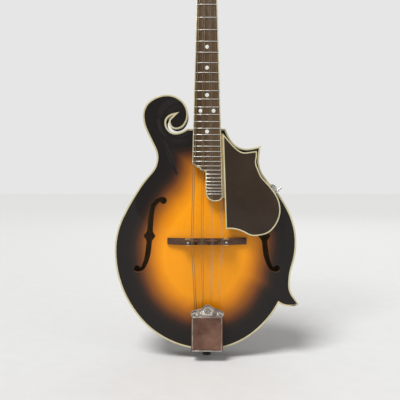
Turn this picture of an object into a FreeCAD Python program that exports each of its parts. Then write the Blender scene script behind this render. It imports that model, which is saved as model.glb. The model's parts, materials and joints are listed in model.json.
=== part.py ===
import FreeCAD, Part
import math
import os

Vector = FreeCAD.Vector
Rotation = FreeCAD.Rotation
Placement = FreeCAD.Placement

# Driving sizes: millimetres, degrees and counts
DRIVING_SIZES = (
    ("body_width", 260.0),
    ("body_length", 359.0),
    ("rib_height", 36.0),
    ("rib_thickness", 2.4),
    ("plate_edge", 4.5),
    ("plate_overhang", 1.6),
    ("plate_thickness", 4.2),
    ("top_arch", 13.0),
    ("back_arch", 10.0),
    ("arch_flats", 32),
    ("hollow_flats", 20),
    ("valley_flats", 16),
    ("binding_width", 2.4),
    ("glue_gap", 0.1),
    ("seat_gap", 0.3),
    ("overrun", 2.0),
    ("lining_width", 5.0),
    ("lining_height", 8.0),
    ("chord_sag", 0.3),
    ("lining_sag", 0.6),
    ("eye_sides", 16),
    ("pin_sides", 12),
    ("tone_bar_width", 6.0),
    ("tone_bar_depth", 8.5),
    ("scale_length", 352.4),
    ("neck_angle", 5.5),
    ("saddle_height_up", 155.0),
    ("bridge_height", 18.5),
    ("nut_width", 28.6),
    ("board_end_width", 43.0),
    ("board_thickness", 6.0),
    ("board_binding", 1.6),
    ("fret_count", 29),
    ("fret_width", 1.6),
    ("fret_crown", 0.95),
    ("fret_end_inset", 0.3),
    ("dot_radius", 2.8),
    ("dot_depth", 1.0),
    ("dot_pair_spread", 17.8),
    ("nut_thickness", 5.0),
    ("nut_string_rise", 1.3),
    ("nut_lip", 2.1),
    ("nut_string_spread", 23.0),
    ("saddle_string_spread", 41.0),
    ("tail_string_spread", 30.0),
    ("course_gap", 2.3),
    ("twelfth_string_rise", 2.7),
    ("neck_depth_at_nut", 13.5),
    ("neck_depth_at_heel", 16.5),
    ("heel_length", 40.0),
    ("tenon_width", 16.0),
    ("tenon_flare", 3.5),
    ("tenon_length", 17.0),
    ("extension_width", 34.0),
    ("extension_reach", 50.0),
    ("rod_radius", 2.4),
    ("rod_depth", 5.2),
    ("head_angle", 14.0),
    ("head_drop", 3.5),
    ("head_length", 186.0),
    ("head_width", 80.0),
    ("head_thickness", 13.0),
    ("veneer_thickness", 1.6),
    ("head_binding_width", 1.5),
    ("head_binding_height", 4.0),
    ("cover_length", 44.0),
    ("cover_width", 24.0),
    ("cover_thickness", 1.4),
    ("tuner_count", 4),
    ("tuner_pitch", 23.0),
    ("tuner_row_share", 0.4543),
    ("post_offset", 19.5),
    ("post_radius", 3.0),
    ("post_front_reach", 14.0),
    ("winding_radius", 3.9),
    ("winding_start", 5.2),
    ("winding_length", 3.6),
    ("running_gap", 0.1),
    ("bushing_wall", 1.1),
    ("bushing_flange", 1.5),
    ("bushing_flange_height", 1.2),
    ("bushing_depth", 6.0),
    ("tuner_plate_thickness", 1.2),
    ("tuner_plate_width", 13.5),
    ("tuner_plate_margin", 14.5),
    ("gear_teeth", 14),
    ("gear_module", 0.8),
    ("gear_thickness", 2.4),
    ("tooth_tip_share", 0.24),
    ("worm_radius", 2.2),
    ("worm_length", 5.8),
    ("worm_stand_off", 0.5),
    ("worm_steps", 8),
    ("lug_thickness", 1.4),
    ("button_reach", 42.5),
    ("button_length", 14.0),
    ("button_width", 12.5),
    ("button_thickness", 7.5),
    ("button_edge", 1.6),
    ("screw_head_height", 0.9),
    ("bridge_base_width", 110.0),
    ("bridge_base_depth", 9.0),
    ("bridge_base_rise", 5.5),
    ("bridge_foot_length", 21.0),
    ("bridge_relief", 1.6),
    ("bridge_end_height", 3.4),
    ("bridge_post_spread", 52.0),
    ("bridge_post_radius", 1.75),
    ("bridge_post_sink", 3.5),
    ("bridge_post_length", 14.0),
    ("saddle_drop_room", 1.7),
    ("wheel_radius", 5.6),
    ("wheel_thickness", 2.4),
    ("wheel_grooves", 16),
    ("wheel_groove_radius", 0.5),
    ("saddle_width", 70.0),
    ("saddle_depth", 6.4),
    ("saddle_crest", 1.8),
    ("saddle_crest_edge", 0.5),
    ("saddle_step", 1.1),
    ("tailpiece_width", 41.6),
    ("tailpiece_length", 48.0),
    ("tailpiece_sheet", 1.0),
    ("tailpiece_rise", 4.4),
    ("tailpiece_tail_reach", 9.0),
    ("hook_radius", 0.9),
    ("hook_height", 3.2),
    ("hook_inset", 4.0),
    ("tail_cover_width", 44.0),
    ("tail_cover_length", 51.0),
    ("tail_cover_sheet", 0.9),
    ("tail_cover_rise", 15.5),
    ("tail_cover_side", 11.4),
    ("tail_cover_end", 13.0),
    ("tail_cover_bead", 0.8),
    ("cloud_width", 47.0),
    ("cloud_length", 16.6),
    ("end_pin_reach", 13.0),
    ("end_pin_head_radius", 6.5),
    ("end_pin_head_height", 2.8),
    ("end_pin_waist_radius", 3.8),
    ("end_pin_flange_radius", 6.2),
    ("end_pin_flange_height", 2.4),
    ("end_pin_shank_radius", 3.4),
    ("end_pin_shank_length", 20.0),
    ("string_radius_g", 0.5),
    ("string_radius_d", 0.34),
    ("string_radius_a", 0.2),
    ("string_radius_e", 0.15),
    ("string_sides", 6),
    ("guard_width", 79.0),
    ("guard_length", 141.2),
    ("guard_drop", 1.6),
    ("guard_thickness", 2.5),
    ("guard_binding", 1.7),
    ("bracket_width", 8.0),
    ("bracket_sheet", 1.2),
    ("bracket_barrel_radius", 2.6),
    ("f_hole_eye_radius", 4.9),
    ("board_taper_length", 291.0),
    ("neck_flats", 12),
    ("heel_depth", 50.0),
    ("heel_taper", 0.25),
    ("rod_nut_start", 14.0),
    ("rod_nut_length", 9.0),
    ("rod_nut_radius", 3.8),
    ("cover_start", 1.5),
    ("shaft_radius", 1.15),
    ("saddle_seat", 0.3),
    ("saddle_travel", 1.4),
    ("leg_gap", 0.3),
    ("bracket_reach", 18.0),
    ("bracket_lip", 3.0),
)

# Outline of the body: shares of its width and length, with the heading of travel in degrees
BASS_SHARES = (
    (-0.179, 0.922, 222), (-0.205, 0.895, 270), (-0.167, 0.866, 0), (-0.102, 0.924, 90),
    (-0.214, 1.001, 180), (-0.346, 0.919, 270), (-0.307, 0.828, 296), (-0.271, 0.756, 270),
    (-0.365, 0.640, 236), (-0.500, 0.390, 270), (0.000, 0.000, 0), (0.391, 0.183, 62),
)
LOWER_POINT_SHARES = ((0.391, 0.183, -35), (0.500, 0.178, 24))
TREBLE_SHARES = (
    (0.500, 0.178, 124), (0.450, 0.255, 90), (0.485, 0.421, 90), (0.360, 0.637, 132),
    (0.282, 0.742, 90), (0.292, 0.802, 80),
)
UPPER_POINT_SHARES = ((0.292, 0.802, 200), (0.213, 0.790, 180), (0.101, 0.868, 106))
SCROLL_SLOT_SHARES = (
    (-0.108, 0.868, 216), (-0.170, 0.852, 180), (-0.220, 0.892, 90), (-0.179, 0.922, 12),
)

doc = FreeCAD.newDocument("mandolin")
sheet = doc.addObject("Spreadsheet::Sheet", "Sizes")
parts = []


def fill_sheet():
    """Put every driving size in a cell that carries its name."""
    for row, (alias, value) in enumerate(DRIVING_SIZES, start=1):
        sheet.set("A%d" % row, alias)
        sheet.set("B%d" % row, str(value))
        sheet.setAlias("B%d" % row, alias)
    doc.recompute()


fill_sheet()


def size(name):
    """Read one driving size from the sheet."""
    return float(sheet.get(name))


# Frames: the body's, the neck's along the fingerboard, and the peghead's

def front_edge():
    """Distance from the rim's middle to the face of a plate's edge."""
    return size("rib_height") / 2 + size("plate_edge")


def string_rise_at_saddle():
    """Height of the strings over the fingerboard's plane at the saddle."""
    return 2 * size("twelfth_string_rise") - size("nut_string_rise")


def body_frame():
    return Placement(Vector(0, 0, size("end_pin_reach")), Rotation())


def neck_frame():
    front = front_edge() + size("top_arch") + size("bridge_height")
    origin = Vector(0, string_rise_at_saddle() - front, size("saddle_height_up"))
    turn = Rotation(Vector(1, 0, 0), -size("neck_angle"))
    return body_frame().multiply(Placement(origin, turn))


def head_frame():
    origin = Vector(0, size("head_drop"), size("scale_length") + size("nut_thickness"))
    turn = Rotation(Vector(1, 0, 0), -size("head_angle"))
    return neck_frame().multiply(Placement(origin, turn))


def neck_from_body(shape):
    """Express a shape of the body's frame in the neck's frame."""
    return shape.transformed(neck_frame().inverse().multiply(body_frame()).toMatrix())


def body_from_neck(shape):
    """Express a shape of the neck's frame in the body's frame."""
    return shape.transformed(body_frame().inverse().multiply(neck_frame()).toMatrix())


def neck_from_head(shape):
    """Express a shape of the peghead's frame in the neck's frame."""
    return shape.transformed(neck_frame().inverse().multiply(head_frame()).toMatrix())


# Curves through hand-placed points

def heading(degrees):
    """Unit vector of a direction of travel: 0 along X and 90 along Z."""
    angle = math.radians(degrees)
    return Vector(math.cos(angle), 0, math.sin(angle))


def arc_along(start, way, end):
    """Arc from start, leaving along way, to end."""
    chord = end - start
    cross = way.x * chord.z - way.z * chord.x
    if abs(cross) < 1e-6 * chord.Length:
        return Part.makeLine(start, end)
    side = Vector(-way.z, 0, way.x)
    radius = chord.dot(chord) / (2 * side.dot(chord))
    centre = start + side * radius
    middle = ((start + end) * 0.5 - centre).normalize() * abs(radius)
    if way.dot(chord) < 0:
        middle = middle * -1
    return Part.Arc(start, centre + middle, end).toShape()


def tangent_arcs(points, headings):
    """Two tangent arcs between each two points, each point with its heading."""
    ways = [heading(degrees) for degrees in headings]
    edges = []
    for i in range(len(points) - 1):
        chord = points[i + 1] - points[i]
        bend = 2 * (1 - ways[i].dot(ways[i + 1]))
        along = 2 * chord.dot(ways[i] + ways[i + 1])
        if bend < 1e-9:
            reach = chord.dot(chord) / along
        else:
            reach = (math.sqrt(along ** 2 + 4 * bend * chord.dot(chord)) - along) / (2 * bend)
        joint = (points[i] + ways[i] * reach + points[i + 1] - ways[i + 1] * reach) * 0.5
        half = (joint - points[i]).normalize()
        edges.append(arc_along(points[i], ways[i], joint))
        edges.append(arc_along(joint, half * (2 * half.dot(ways[i])) - ways[i], points[i + 1]))
    return edges


def closed_face(edges):
    wire = Part.Wire(Part.__sortEdges__(edges))
    return Part.Face(wire)


def polygon_face(points):
    return Part.Face(Part.makePolygon(list(points) + [points[0]]))


def chorded(edges, sag):
    """Face inside a chain of lines and arcs, each arc in as few chords as the sag allows."""
    corners = []
    for number, edge in enumerate(edges):
        pieces = 1
        if edge.Curve.TypeId == "Part::GeomCircle":
            radius = edge.Curve.Radius
            step = 2 * math.acos(1 - min(sag / radius, 1))
            pieces = max(1, math.ceil(edge.Length / radius / step))
        points = edge.discretize(Number=pieces + 1)
        last = edges[number - 1].Vertexes
        near = min(points[0].distanceToPoint(vertex.Point) for vertex in last)
        if near > min(points[-1].distanceToPoint(vertex.Point) for vertex in last):
            points.reverse()
        corners += points[1:]
    return polygon_face(corners)


def moved_in(face, distance):
    """A flat face moved inwards all round, its rounded corners in chords again."""
    edges = face.makeOffset2D(-distance).OuterWire.OrderedEdges
    return chorded(edges, size("chord_sag"))


def slab(face, y_from, y_to):
    """Prism of a flat outline between two depths."""
    moved = face.copy()
    moved.translate(Vector(0, y_from, 0))
    return moved.extrude(Vector(0, y_to - y_from, 0))


def box(x_low, x_high, y_low, y_high, z_low, z_high):
    spans = (x_high - x_low, y_high - y_low, z_high - z_low)
    return Part.makeBox(*spans, Vector(x_low, y_low, z_low))


def rod(radius, start, end):
    return Part.makeCylinder(radius, (end - start).Length, start, end - start)


def add_part(label, shape, frame):
    """Keep a finished shape under the name of its piece."""
    feature = doc.addObject("Part::Feature", label)
    feature.Label = label
    feature.Shape = shape.removeSplitter() if len(shape.Solids) == 1 else shape
    feature.Placement = frame
    parts.append(feature)
    return feature


# Small solids with flat sides

def ring_points(sides, radius, centre, first, second):
    """Corners of a regular polygon in the plane of two unit vectors."""
    corners = []
    for step in range(sides):
        angle = 2 * math.pi * (step + 0.5) / sides
        corners.append(centre + first * (radius * math.cos(angle))
                       + second * (radius * math.sin(angle)))
    return corners


def closed_solid(faces):
    solid = Part.Solid(Part.Shell(faces))
    if solid.Volume < 0:
        solid.reverse()
    return solid


def flat_solid(rings):
    """Solid of flat four-sided faces through rings of corners, capped at both ends."""
    faces = [polygon_face(rings[0]), polygon_face(rings[-1])]
    for low, high in zip(rings, rings[1:]):
        for i in range(len(low)):
            faces.append(polygon_face((low[i - 1], low[i], high[i], high[i - 1])))
    return closed_solid(faces)


def twisted_solid(rings):
    """Solid of flat triangles through rings of corners, capped at both ends."""
    faces = [polygon_face(rings[0]), polygon_face(rings[-1])]
    for low, high in zip(rings, rings[1:]):
        for i in range(len(low)):
            faces.append(polygon_face((low[i - 1], low[i], high[i])))
            faces.append(polygon_face((low[i - 1], high[i], high[i - 1])))
    return closed_solid(faces)


def turned(outline, sides):
    """Turned piece about Z from its radii and heights, with many flat sides."""
    rings = []
    for radius, height in outline:
        rings.append(ring_points(sides, radius, Vector(0, 0, height), Vector(1, 0, 0),
                                 Vector(0, 1, 0)))
    return flat_solid(rings)


def prism(radius, start, end, sides=12):
    """Many-sided bar between two points, its corners on the radius."""
    way = (end - start).normalize()
    first = way.cross(Vector(0, 0, 1))
    if first.Length < 0.5:
        first = way.cross(Vector(1, 0, 0))
    first = first.normalize()
    second = way.cross(first)
    face = polygon_face(ring_points(sides, radius, start, first, second))
    return face.extrude(end - start)


def bore(radius, start, end, sides=12):
    """Many-sided hole that leaves at least the radius free."""
    return prism(radius / math.cos(math.pi / sides), start, end, sides)


# Body outline

def on_body(share):
    return Vector(share[0] * size("body_width"), 0, share[1] * size("body_length"))


def body_arcs(shares, mirror=1):
    """Arcs through places on the body; mirror is -1 for the other side's copy."""
    points = [on_body((share[0] * mirror, share[1])) for share in shares]
    headings = [share[2] if mirror > 0 else 180 - share[2] for share in shares]
    return tangent_arcs(points, headings)


def neck_line_height():
    """Where the neck meets the rim, above the tail."""
    return UPPER_POINT_SHARES[-1][1] * size("body_length")


def body_face(sag):
    """The whole outline of the body, with the scroll's slot."""
    edges = [Part.makeLine(on_body(UPPER_POINT_SHARES[-1]), on_body(SCROLL_SLOT_SHARES[0]))]
    for shares in (SCROLL_SLOT_SHARES, BASS_SHARES, LOWER_POINT_SHARES, TREBLE_SHARES,
                   UPPER_POINT_SHARES):
        edges += body_arcs(shares)
    return chorded(edges, sag)


OUTLINE = body_face(size("chord_sag"))


def inset(distance):
    """The body's outline moved inwards."""
    return moved_in(OUTLINE, distance)


def region(shares, y_from, y_to):
    return slab(polygon_face([on_body(share) for share in shares]), y_from, y_to)


# Arching, carved in small flats along egg-shaped contour lines round the crown

CROWN_SHARE = 0.43
DOME_HALF_WIDTH_SHARE = 0.432
DOME_DOWN_SHARE = 0.398
DOME_UP_SHARE = 0.392
DOME_FULLNESS = 1.25
OUTER_CONTOUR_SHARES = (1.0, 0.93, 0.84, 0.74, 0.63, 0.52, 0.40, 0.28, 0.16)
INNER_CONTOUR_SHARES = (0.93, 0.78, 0.58, 0.36, 0.14)


def arch_height(share):
    """Share of the arch's rise at a share of the way from the crown to the recurve."""
    return 0.5 + 0.5 * math.cos(math.pi * min(share, 1.0) ** DOME_FULLNESS)


def contour(share, y, flats):
    """Corners of one contour line of the arch."""
    corners = []
    for step in range(flats):
        angle = 2 * math.pi * (step + 0.5) / flats
        x = share * DOME_HALF_WIDTH_SHARE * size("body_width") * math.cos(angle)
        up_share = DOME_UP_SHARE if math.sin(angle) > 0 else DOME_DOWN_SHARE
        reach = share * up_share * size("body_length") * math.sin(angle)
        corners.append(Vector(x, y, CROWN_SHARE * size("body_length") + reach))
    return corners


def arch(base, rise):
    """Solid under the outer arch: its foot at a depth and its rise, both along Y."""
    flats = int(size("arch_flats"))
    return flat_solid([contour(share, base + rise * arch_height(share), flats)
                       for share in OUTER_CONTOUR_SHARES])


def hollow(side, rise):
    """Room under a plate: side is -1 at the top and 1 at the back."""
    flats = int(size("hollow_flats"))
    glue_plane = side * size("rib_height") / 2
    inner_rise = side * (rise + size("plate_edge") - size("plate_thickness"))
    foot_share = INNER_CONTOUR_SHARES[0]
    rings = [contour(foot_share, glue_plane - side * size("overrun"), flats)]
    rings.append(contour(foot_share, glue_plane, flats))
    for share in INNER_CONTOUR_SHARES[1:]:
        rise_share = arch_height(share / foot_share)
        rings.append(contour(share, glue_plane + inner_rise * rise_share, flats))
    return flat_solid(rings)


def under_top(clearance):
    """Everything behind the top's surface raised by a clearance."""
    base = -front_edge() - clearance
    return slab(OUTLINE, 0, base).fuse(arch(base, -size("top_arch")))


def plate(side, rise, face):
    """Carved plate with its arch outside and its hollow inside."""
    glue_plane = side * size("rib_height") / 2
    edge = side * front_edge()
    body = slab(face, glue_plane, edge).fuse(arch(edge, side * rise))
    return body.cut(hollow(side, rise))


# F-hole of the bass side in shares of the body's width and length
UPPER_EYE_SHARE = (-0.2350, 0.5880)
LOWER_EYE_SHARE = (-0.3780, 0.3190)
STEM_OUTER_SHARES = ((-0.2370, 0.6010, 180), (-0.3050, 0.5600, 255), (-0.3230, 0.4620, 264))
STEM_OUTER_LOW_SHARES = ((-0.3250, 0.4360, 264), (-0.3460, 0.3450, 250), (-0.3660, 0.3190, 180))
STEM_INNER_LOW_SHARES = ((-0.3720, 0.3060, 0), (-0.3180, 0.3600, 72), (-0.3030, 0.4340, 83))
STEM_INNER_SHARES = ((-0.2990, 0.4620, 84), (-0.2840, 0.5600, 76), (-0.2480, 0.5860, 0))
NOTCH_OUTER_SHARE = (-0.3430, 0.4490)
NOTCH_INNER_SHARE = (-0.2820, 0.4490)


def f_hole(mirror):
    """Cutter for one f-hole; mirror is 1 on the bass side and -1 on the treble side."""
    def at(share):
        return on_body((share[0] * mirror, share[1]))

    def line(first, second):
        return Part.makeLine(at(first), at(second))

    edges = body_arcs(STEM_OUTER_SHARES, mirror)
    edges.append(line(STEM_OUTER_SHARES[-1], NOTCH_OUTER_SHARE))
    edges.append(line(NOTCH_OUTER_SHARE, STEM_OUTER_LOW_SHARES[0]))
    edges += body_arcs(STEM_OUTER_LOW_SHARES, mirror)
    edges.append(line(STEM_OUTER_LOW_SHARES[-1], STEM_INNER_LOW_SHARES[0]))
    edges += body_arcs(STEM_INNER_LOW_SHARES, mirror)
    edges.append(line(STEM_INNER_LOW_SHARES[-1], NOTCH_INNER_SHARE))
    edges.append(line(NOTCH_INNER_SHARE, STEM_INNER_SHARES[0]))
    edges += body_arcs(STEM_INNER_SHARES, mirror)
    edges.append(line(STEM_INNER_SHARES[-1], STEM_OUTER_SHARES[0]))
    front = -front_edge() - size("top_arch") - size("overrun")
    cutter = slab(chorded(edges, size("chord_sag")), front, 0)
    for share in (UPPER_EYE_SHARE, LOWER_EYE_SHARE):
        eye = at(share)
        start = Vector(eye.x, front, eye.z)
        cutter = cutter.fuse(prism(size("f_hole_eye_radius"), start, eye, int(size("eye_sides"))))
    return cutter


# Dished valley of the scroll
SCROLL_EYE_SHARE = (-0.150, 0.900)
VALLEY_RADIUS_SHARE = 0.093
VALLEY_ROUND_SHARE = 0.042
VALLEY_DEPTH_SHARE = 0.0085
VALLEY_TILT = 5.5


def scroll_valley():
    """Ring cutter of flat faces, tilted so that the valley fades out towards the waist."""
    width = size("body_width")
    sides = int(size("valley_flats"))
    eye = on_body(SCROLL_EYE_SHARE)
    rings = []
    for step in range(sides):
        turn = Rotation(Vector(0, 1, 0), 360 * step / sides)
        ring = []
        for side in range(sides // 2):
            angle = 4 * math.pi * side / sides
            out = VALLEY_RADIUS_SHARE + VALLEY_ROUND_SHARE * math.cos(angle)
            ring.append(turn.multVec(Vector(out, VALLEY_ROUND_SHARE * math.sin(angle), 0) * width))
        rings.append(ring)
    faces = []
    for low, high in zip(rings, rings[1:] + rings[:1]):
        for i in range(len(low)):
            faces.append(polygon_face((low[i - 1], low[i], high[i], high[i - 1])))
    valley = closed_solid(faces)
    valley.rotate(Vector(0, 0, 0), Vector(1, 0, 0), VALLEY_TILT)
    lift = VALLEY_ROUND_SHARE - VALLEY_DEPTH_SHARE
    valley.translate(Vector(eye.x, -front_edge() - lift * width, eye.z))
    return valley


def make_plates():
    glued = inset(size("binding_width") + size("glue_gap"))
    top = plate(-1, size("top_arch"), glued)
    for mirror in (1, -1):
        top = top.cut(f_hole(mirror))
    top = top.cut(scroll_valley())
    add_part("top_plate", top, body_frame())
    add_part("back_plate", plate(1, size("back_arch"), OUTLINE), body_frame())


# Rim: ribs, blocks, linings and bars

BASS_REGION_SHARES = ((0.0, -0.1), (0.0, 1.1), (-0.6, 1.1), (-0.6, -0.1))
LOWER_REGION_SHARES = (
    (0.0, -0.1), (0.6, -0.1), (0.6, 0.146), (0.500, 0.178), (0.1, 0.305), (0.0, 0.305),
)
MIDDLE_REGION_SHARES = (
    (0.0, 0.305), (0.1, 0.305), (0.500, 0.178), (0.6, 0.146), (0.6, 0.88), (0.347, 0.882),
    (0.292, 0.802), (0.2, 0.68), (0.0, 0.68),
)
UPPER_REGION_SHARES = (
    (0.0, 0.68), (0.2, 0.68), (0.292, 0.802), (0.347, 0.882), (0.347, 1.1), (0.0, 1.1),
)


def ribs_all():
    half = size("rib_height") / 2
    outer = slab(inset(size("plate_overhang")), -half, half)
    thick = size("plate_overhang") + size("rib_thickness")
    return outer.cut(slab(inset(thick), -half, half))


def mortise(gap):
    """Dovetail room in the rim and the head block."""
    top = neck_line_height() + size("overrun")
    low = neck_line_height() - size("tenon_length") - gap
    narrow = size("tenon_width") / 2 + gap
    wide = narrow + size("tenon_flare")
    points = (Vector(-narrow, 0, top), Vector(narrow, 0, top), Vector(wide, 0, low),
              Vector(-wide, 0, low))
    half = size("rib_height") / 2
    return slab(polygon_face(points), -half + size("glue_gap") - gap, half)


def pin_bore():
    """Bore of the end pin through the rim and the tail block."""
    deep = size("end_pin_shank_length") + size("overrun")
    return bore(size("end_pin_shank_radius") + size("glue_gap"), Vector(0, 0, -size("overrun")),
                Vector(0, 0, deep), int(size("pin_sides")))


def make_ribs():
    half = size("rib_height") / 2
    ring = ribs_all().cut(mortise(size("glue_gap"))).cut(pin_bore())
    for label, shares in (("bass_rib", BASS_REGION_SHARES),
                          ("treble_lower_rib", LOWER_REGION_SHARES),
                          ("treble_middle_rib", MIDDLE_REGION_SHARES),
                          ("treble_upper_rib", UPPER_REGION_SHARES)):
        add_part(label, ring.common(region(shares, -half, half)), body_frame())


HEAD_BLOCK_SHARES = (
    (-0.42, 1.05), (-0.42, 0.84), (-0.30, 0.79), (-0.20, 0.76), (-0.10, 0.735), (0.10, 0.735),
    (0.12, 0.76), (0.12, 1.05),
)
TAIL_BLOCK_SHARES = ((-0.12, -0.02), (0.12, -0.02), (0.12, 0.072), (-0.12, 0.072))
LOWER_POINT_BLOCK_SHARES = ((0.37, 0.14), (0.55, 0.14), (0.55, 0.24), (0.39, 0.24))
UPPER_POINT_BLOCK_SHARES = ((0.20, 0.84), (0.20, 0.77), (0.25, 0.745), (0.33, 0.745), (0.33, 0.84))


def make_blocks():
    half = size("rib_height") / 2
    start = size("plate_overhang") + size("rib_thickness") + size("seat_gap")
    core = slab(inset(start), -half, half)
    head = core.common(region(HEAD_BLOCK_SHARES, -half, half)).cut(mortise(size("glue_gap")))
    add_part("head_block", head, body_frame())
    tail = core.common(region(TAIL_BLOCK_SHARES, -half, half)).cut(pin_bore())
    add_part("tail_block", tail, body_frame())
    points = [core.common(region(shares, -half, half))
              for shares in (LOWER_POINT_BLOCK_SHARES, UPPER_POINT_BLOCK_SHARES)]
    add_part("point_blocks", Part.makeCompound(points), body_frame())


def make_linings():
    """Kerfed strips in the corners between the ribs and the plates, stopped at the blocks."""
    half = size("rib_height") / 2
    start = size("plate_overhang") + size("rib_thickness") + size("seat_gap") * 2
    blocks = (HEAD_BLOCK_SHARES, TAIL_BLOCK_SHARES, LOWER_POINT_BLOCK_SHARES,
              UPPER_POINT_BLOCK_SHARES)
    coarse = body_face(size("lining_sag"))
    outer = moved_in(coarse, start)
    inner = moved_in(coarse, start + size("lining_width"))
    for label, side in (("top_linings", -1), ("back_linings", 1)):
        low = side * (half - size("lining_height"))
        strip = slab(outer, low, side * half).cut(slab(inner, low, side * half))
        for shares in blocks:
            strip = strip.cut(region(shares, -half, half))
        add_part(label, strip, body_frame())


TONE_BAR_ENDS_SHARES = (((-0.07, 0.22), (-0.17, 0.68)), ((0.07, 0.22), (0.15, 0.68)))


def make_tone_bars():
    """Two spruce bars fitted under the top's arch, inside of the f-holes."""
    room = hollow(-1, size("top_arch"))
    room.translate(Vector(0, size("glue_gap"), 0))
    glue_plane = -size("rib_height") / 2
    edge = glue_plane - size("top_arch") + size("tone_bar_depth")
    bars = []
    for low_share, high_share in TONE_BAR_ENDS_SHARES:
        low = on_body(low_share)
        high = on_body(high_share)
        side = Vector(high.z - low.z, 0, low.x - high.x).normalize() * (size("tone_bar_width") / 2)
        face = polygon_face((low - side, low + side, high + side, high - side))
        bars.append(slab(face, glue_plane - size("top_arch") * 2, edge).common(room))
    add_part("tone_bars", Part.makeCompound(bars), body_frame())


def make_binding():
    glue_plane = -size("rib_height") / 2
    ring = slab(OUTLINE, glue_plane, -front_edge())
    ring = ring.cut(slab(inset(size("binding_width")), glue_plane, -front_edge()))
    add_part("top_binding", ring, body_frame())


# Peghead outline in shares of its width and length, with the heading of travel in degrees
FLARE_SHARES = ((0.183, -0.005, 88), (0.244, 0.081, 58), (0.450, 0.194, 62))
TREBLE_HEAD_SHARES = (
    (0.450, 0.194, 152), (0.405, 0.290, 95), (0.394, 0.565, 90), (0.456, 0.742, 90),
    (0.325, 0.844, 180), (0.181, 0.790, 262),
)
CREST_UP_SHARES = ((0.181, 0.790, 96), (0.075, 0.946, 118), (0.000, 1.000, 150))
CREST_DOWN_SHARES = ((0.000, 1.000, 212), (-0.100, 0.936, 244), (-0.206, 0.790, 264))
BASS_HEAD_SHARES = (
    (-0.206, 0.790, 96), (-0.350, 0.871, 180), (-0.512, 0.780, 270), (-0.400, 0.560, 270),
    (-0.405, 0.290, 265), (-0.450, 0.194, 208),
)


def on_head(share):
    return Vector(share[0] * size("head_width"), 0, share[1] * size("head_length"))


def head_face():
    """The whole outline of the peghead."""
    flare_down = [(-share[0], share[1], -share[2]) for share in reversed(FLARE_SHARES)]
    edges = []
    for shares in (FLARE_SHARES, TREBLE_HEAD_SHARES, CREST_UP_SHARES, CREST_DOWN_SHARES,
                   BASS_HEAD_SHARES, flare_down):
        edges += tangent_arcs([on_head(share) for share in shares], [share[2] for share in shares])
    first = on_head(FLARE_SHARES[0])
    edges.insert(0, Part.makeLine(on_head(flare_down[-1]), first))
    return chorded(edges, size("chord_sag"))


HEAD_OUTLINE = head_face()


def tuner_heights():
    """Places of the string posts along the peghead, each row round a share of its length."""
    count = int(size("tuner_count"))
    middle = size("head_length") * size("tuner_row_share")
    return [middle + (row - (count - 1) / 2) * size("tuner_pitch") for row in range(count)]


def post_holes(radius):
    """Holes for all the string posts through the peghead."""
    holes = []
    for height in tuner_heights():
        for side in (-1, 1):
            place = Vector(side * size("post_offset"), 0, height)
            back = Vector(0, size("head_thickness") + size("veneer_thickness"), 0)
            over = Vector(0, size("overrun"), 0)
            holes.append(bore(radius, place - over, place + back + over, 8))
    return Part.makeCompound(holes)


def sleeve_radius():
    return size("post_radius") + size("running_gap") + size("bushing_wall")


POCKET_LENGTH_SHARE = 0.75
POCKET_DEPTH_SHARE = 0.75


def rod_pocket(width, front, deep):
    """Room for the truss rod's nut in the front of the peghead."""
    low = size("nut_thickness") / 2
    return box(-width / 2, width / 2, front, deep, low, size("cover_length") * POCKET_LENGTH_SHARE)


# Neck

def board_half(along):
    """Half width of the fingerboard at a distance from the saddle."""
    taper = (size("board_end_width") - size("nut_width")) / 2
    share = (size("scale_length") - along) / size("board_taper_length")
    return size("nut_width") / 2 + taper * share


def neck_section(along, half, depth):
    """Corners of half an ellipse behind the fingerboard's plane."""
    flats = int(size("neck_flats"))
    corners = []
    for step in range(flats + 1):
        angle = math.pi * step / flats
        corners.append(Vector(half * math.cos(angle), size("board_thickness") + depth * math.sin(angle),
                              along))
    return corners


def butt_place():
    """Distance from the saddle, along the neck, of the neck's joint with the body."""
    drop = neck_line_height() - size("saddle_height_up")
    return drop / math.cos(math.radians(size("neck_angle")))


def neck_depth(along):
    share = (size("scale_length") - along) / size("board_taper_length")
    return size("neck_depth_at_nut") + (size("neck_depth_at_heel") - size("neck_depth_at_nut")) * share


def front_of_head(reach):
    """Room in front of the peghead's wood, in the neck's frame."""
    wide = size("head_width")
    room = box(-wide, wide, -wide, reach, 0, size("head_length"))
    return neck_from_head(room)


HEEL_STATION_SHARES = (0.0, 0.3, 0.55, 0.8, 1.0, 1.1)


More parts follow.
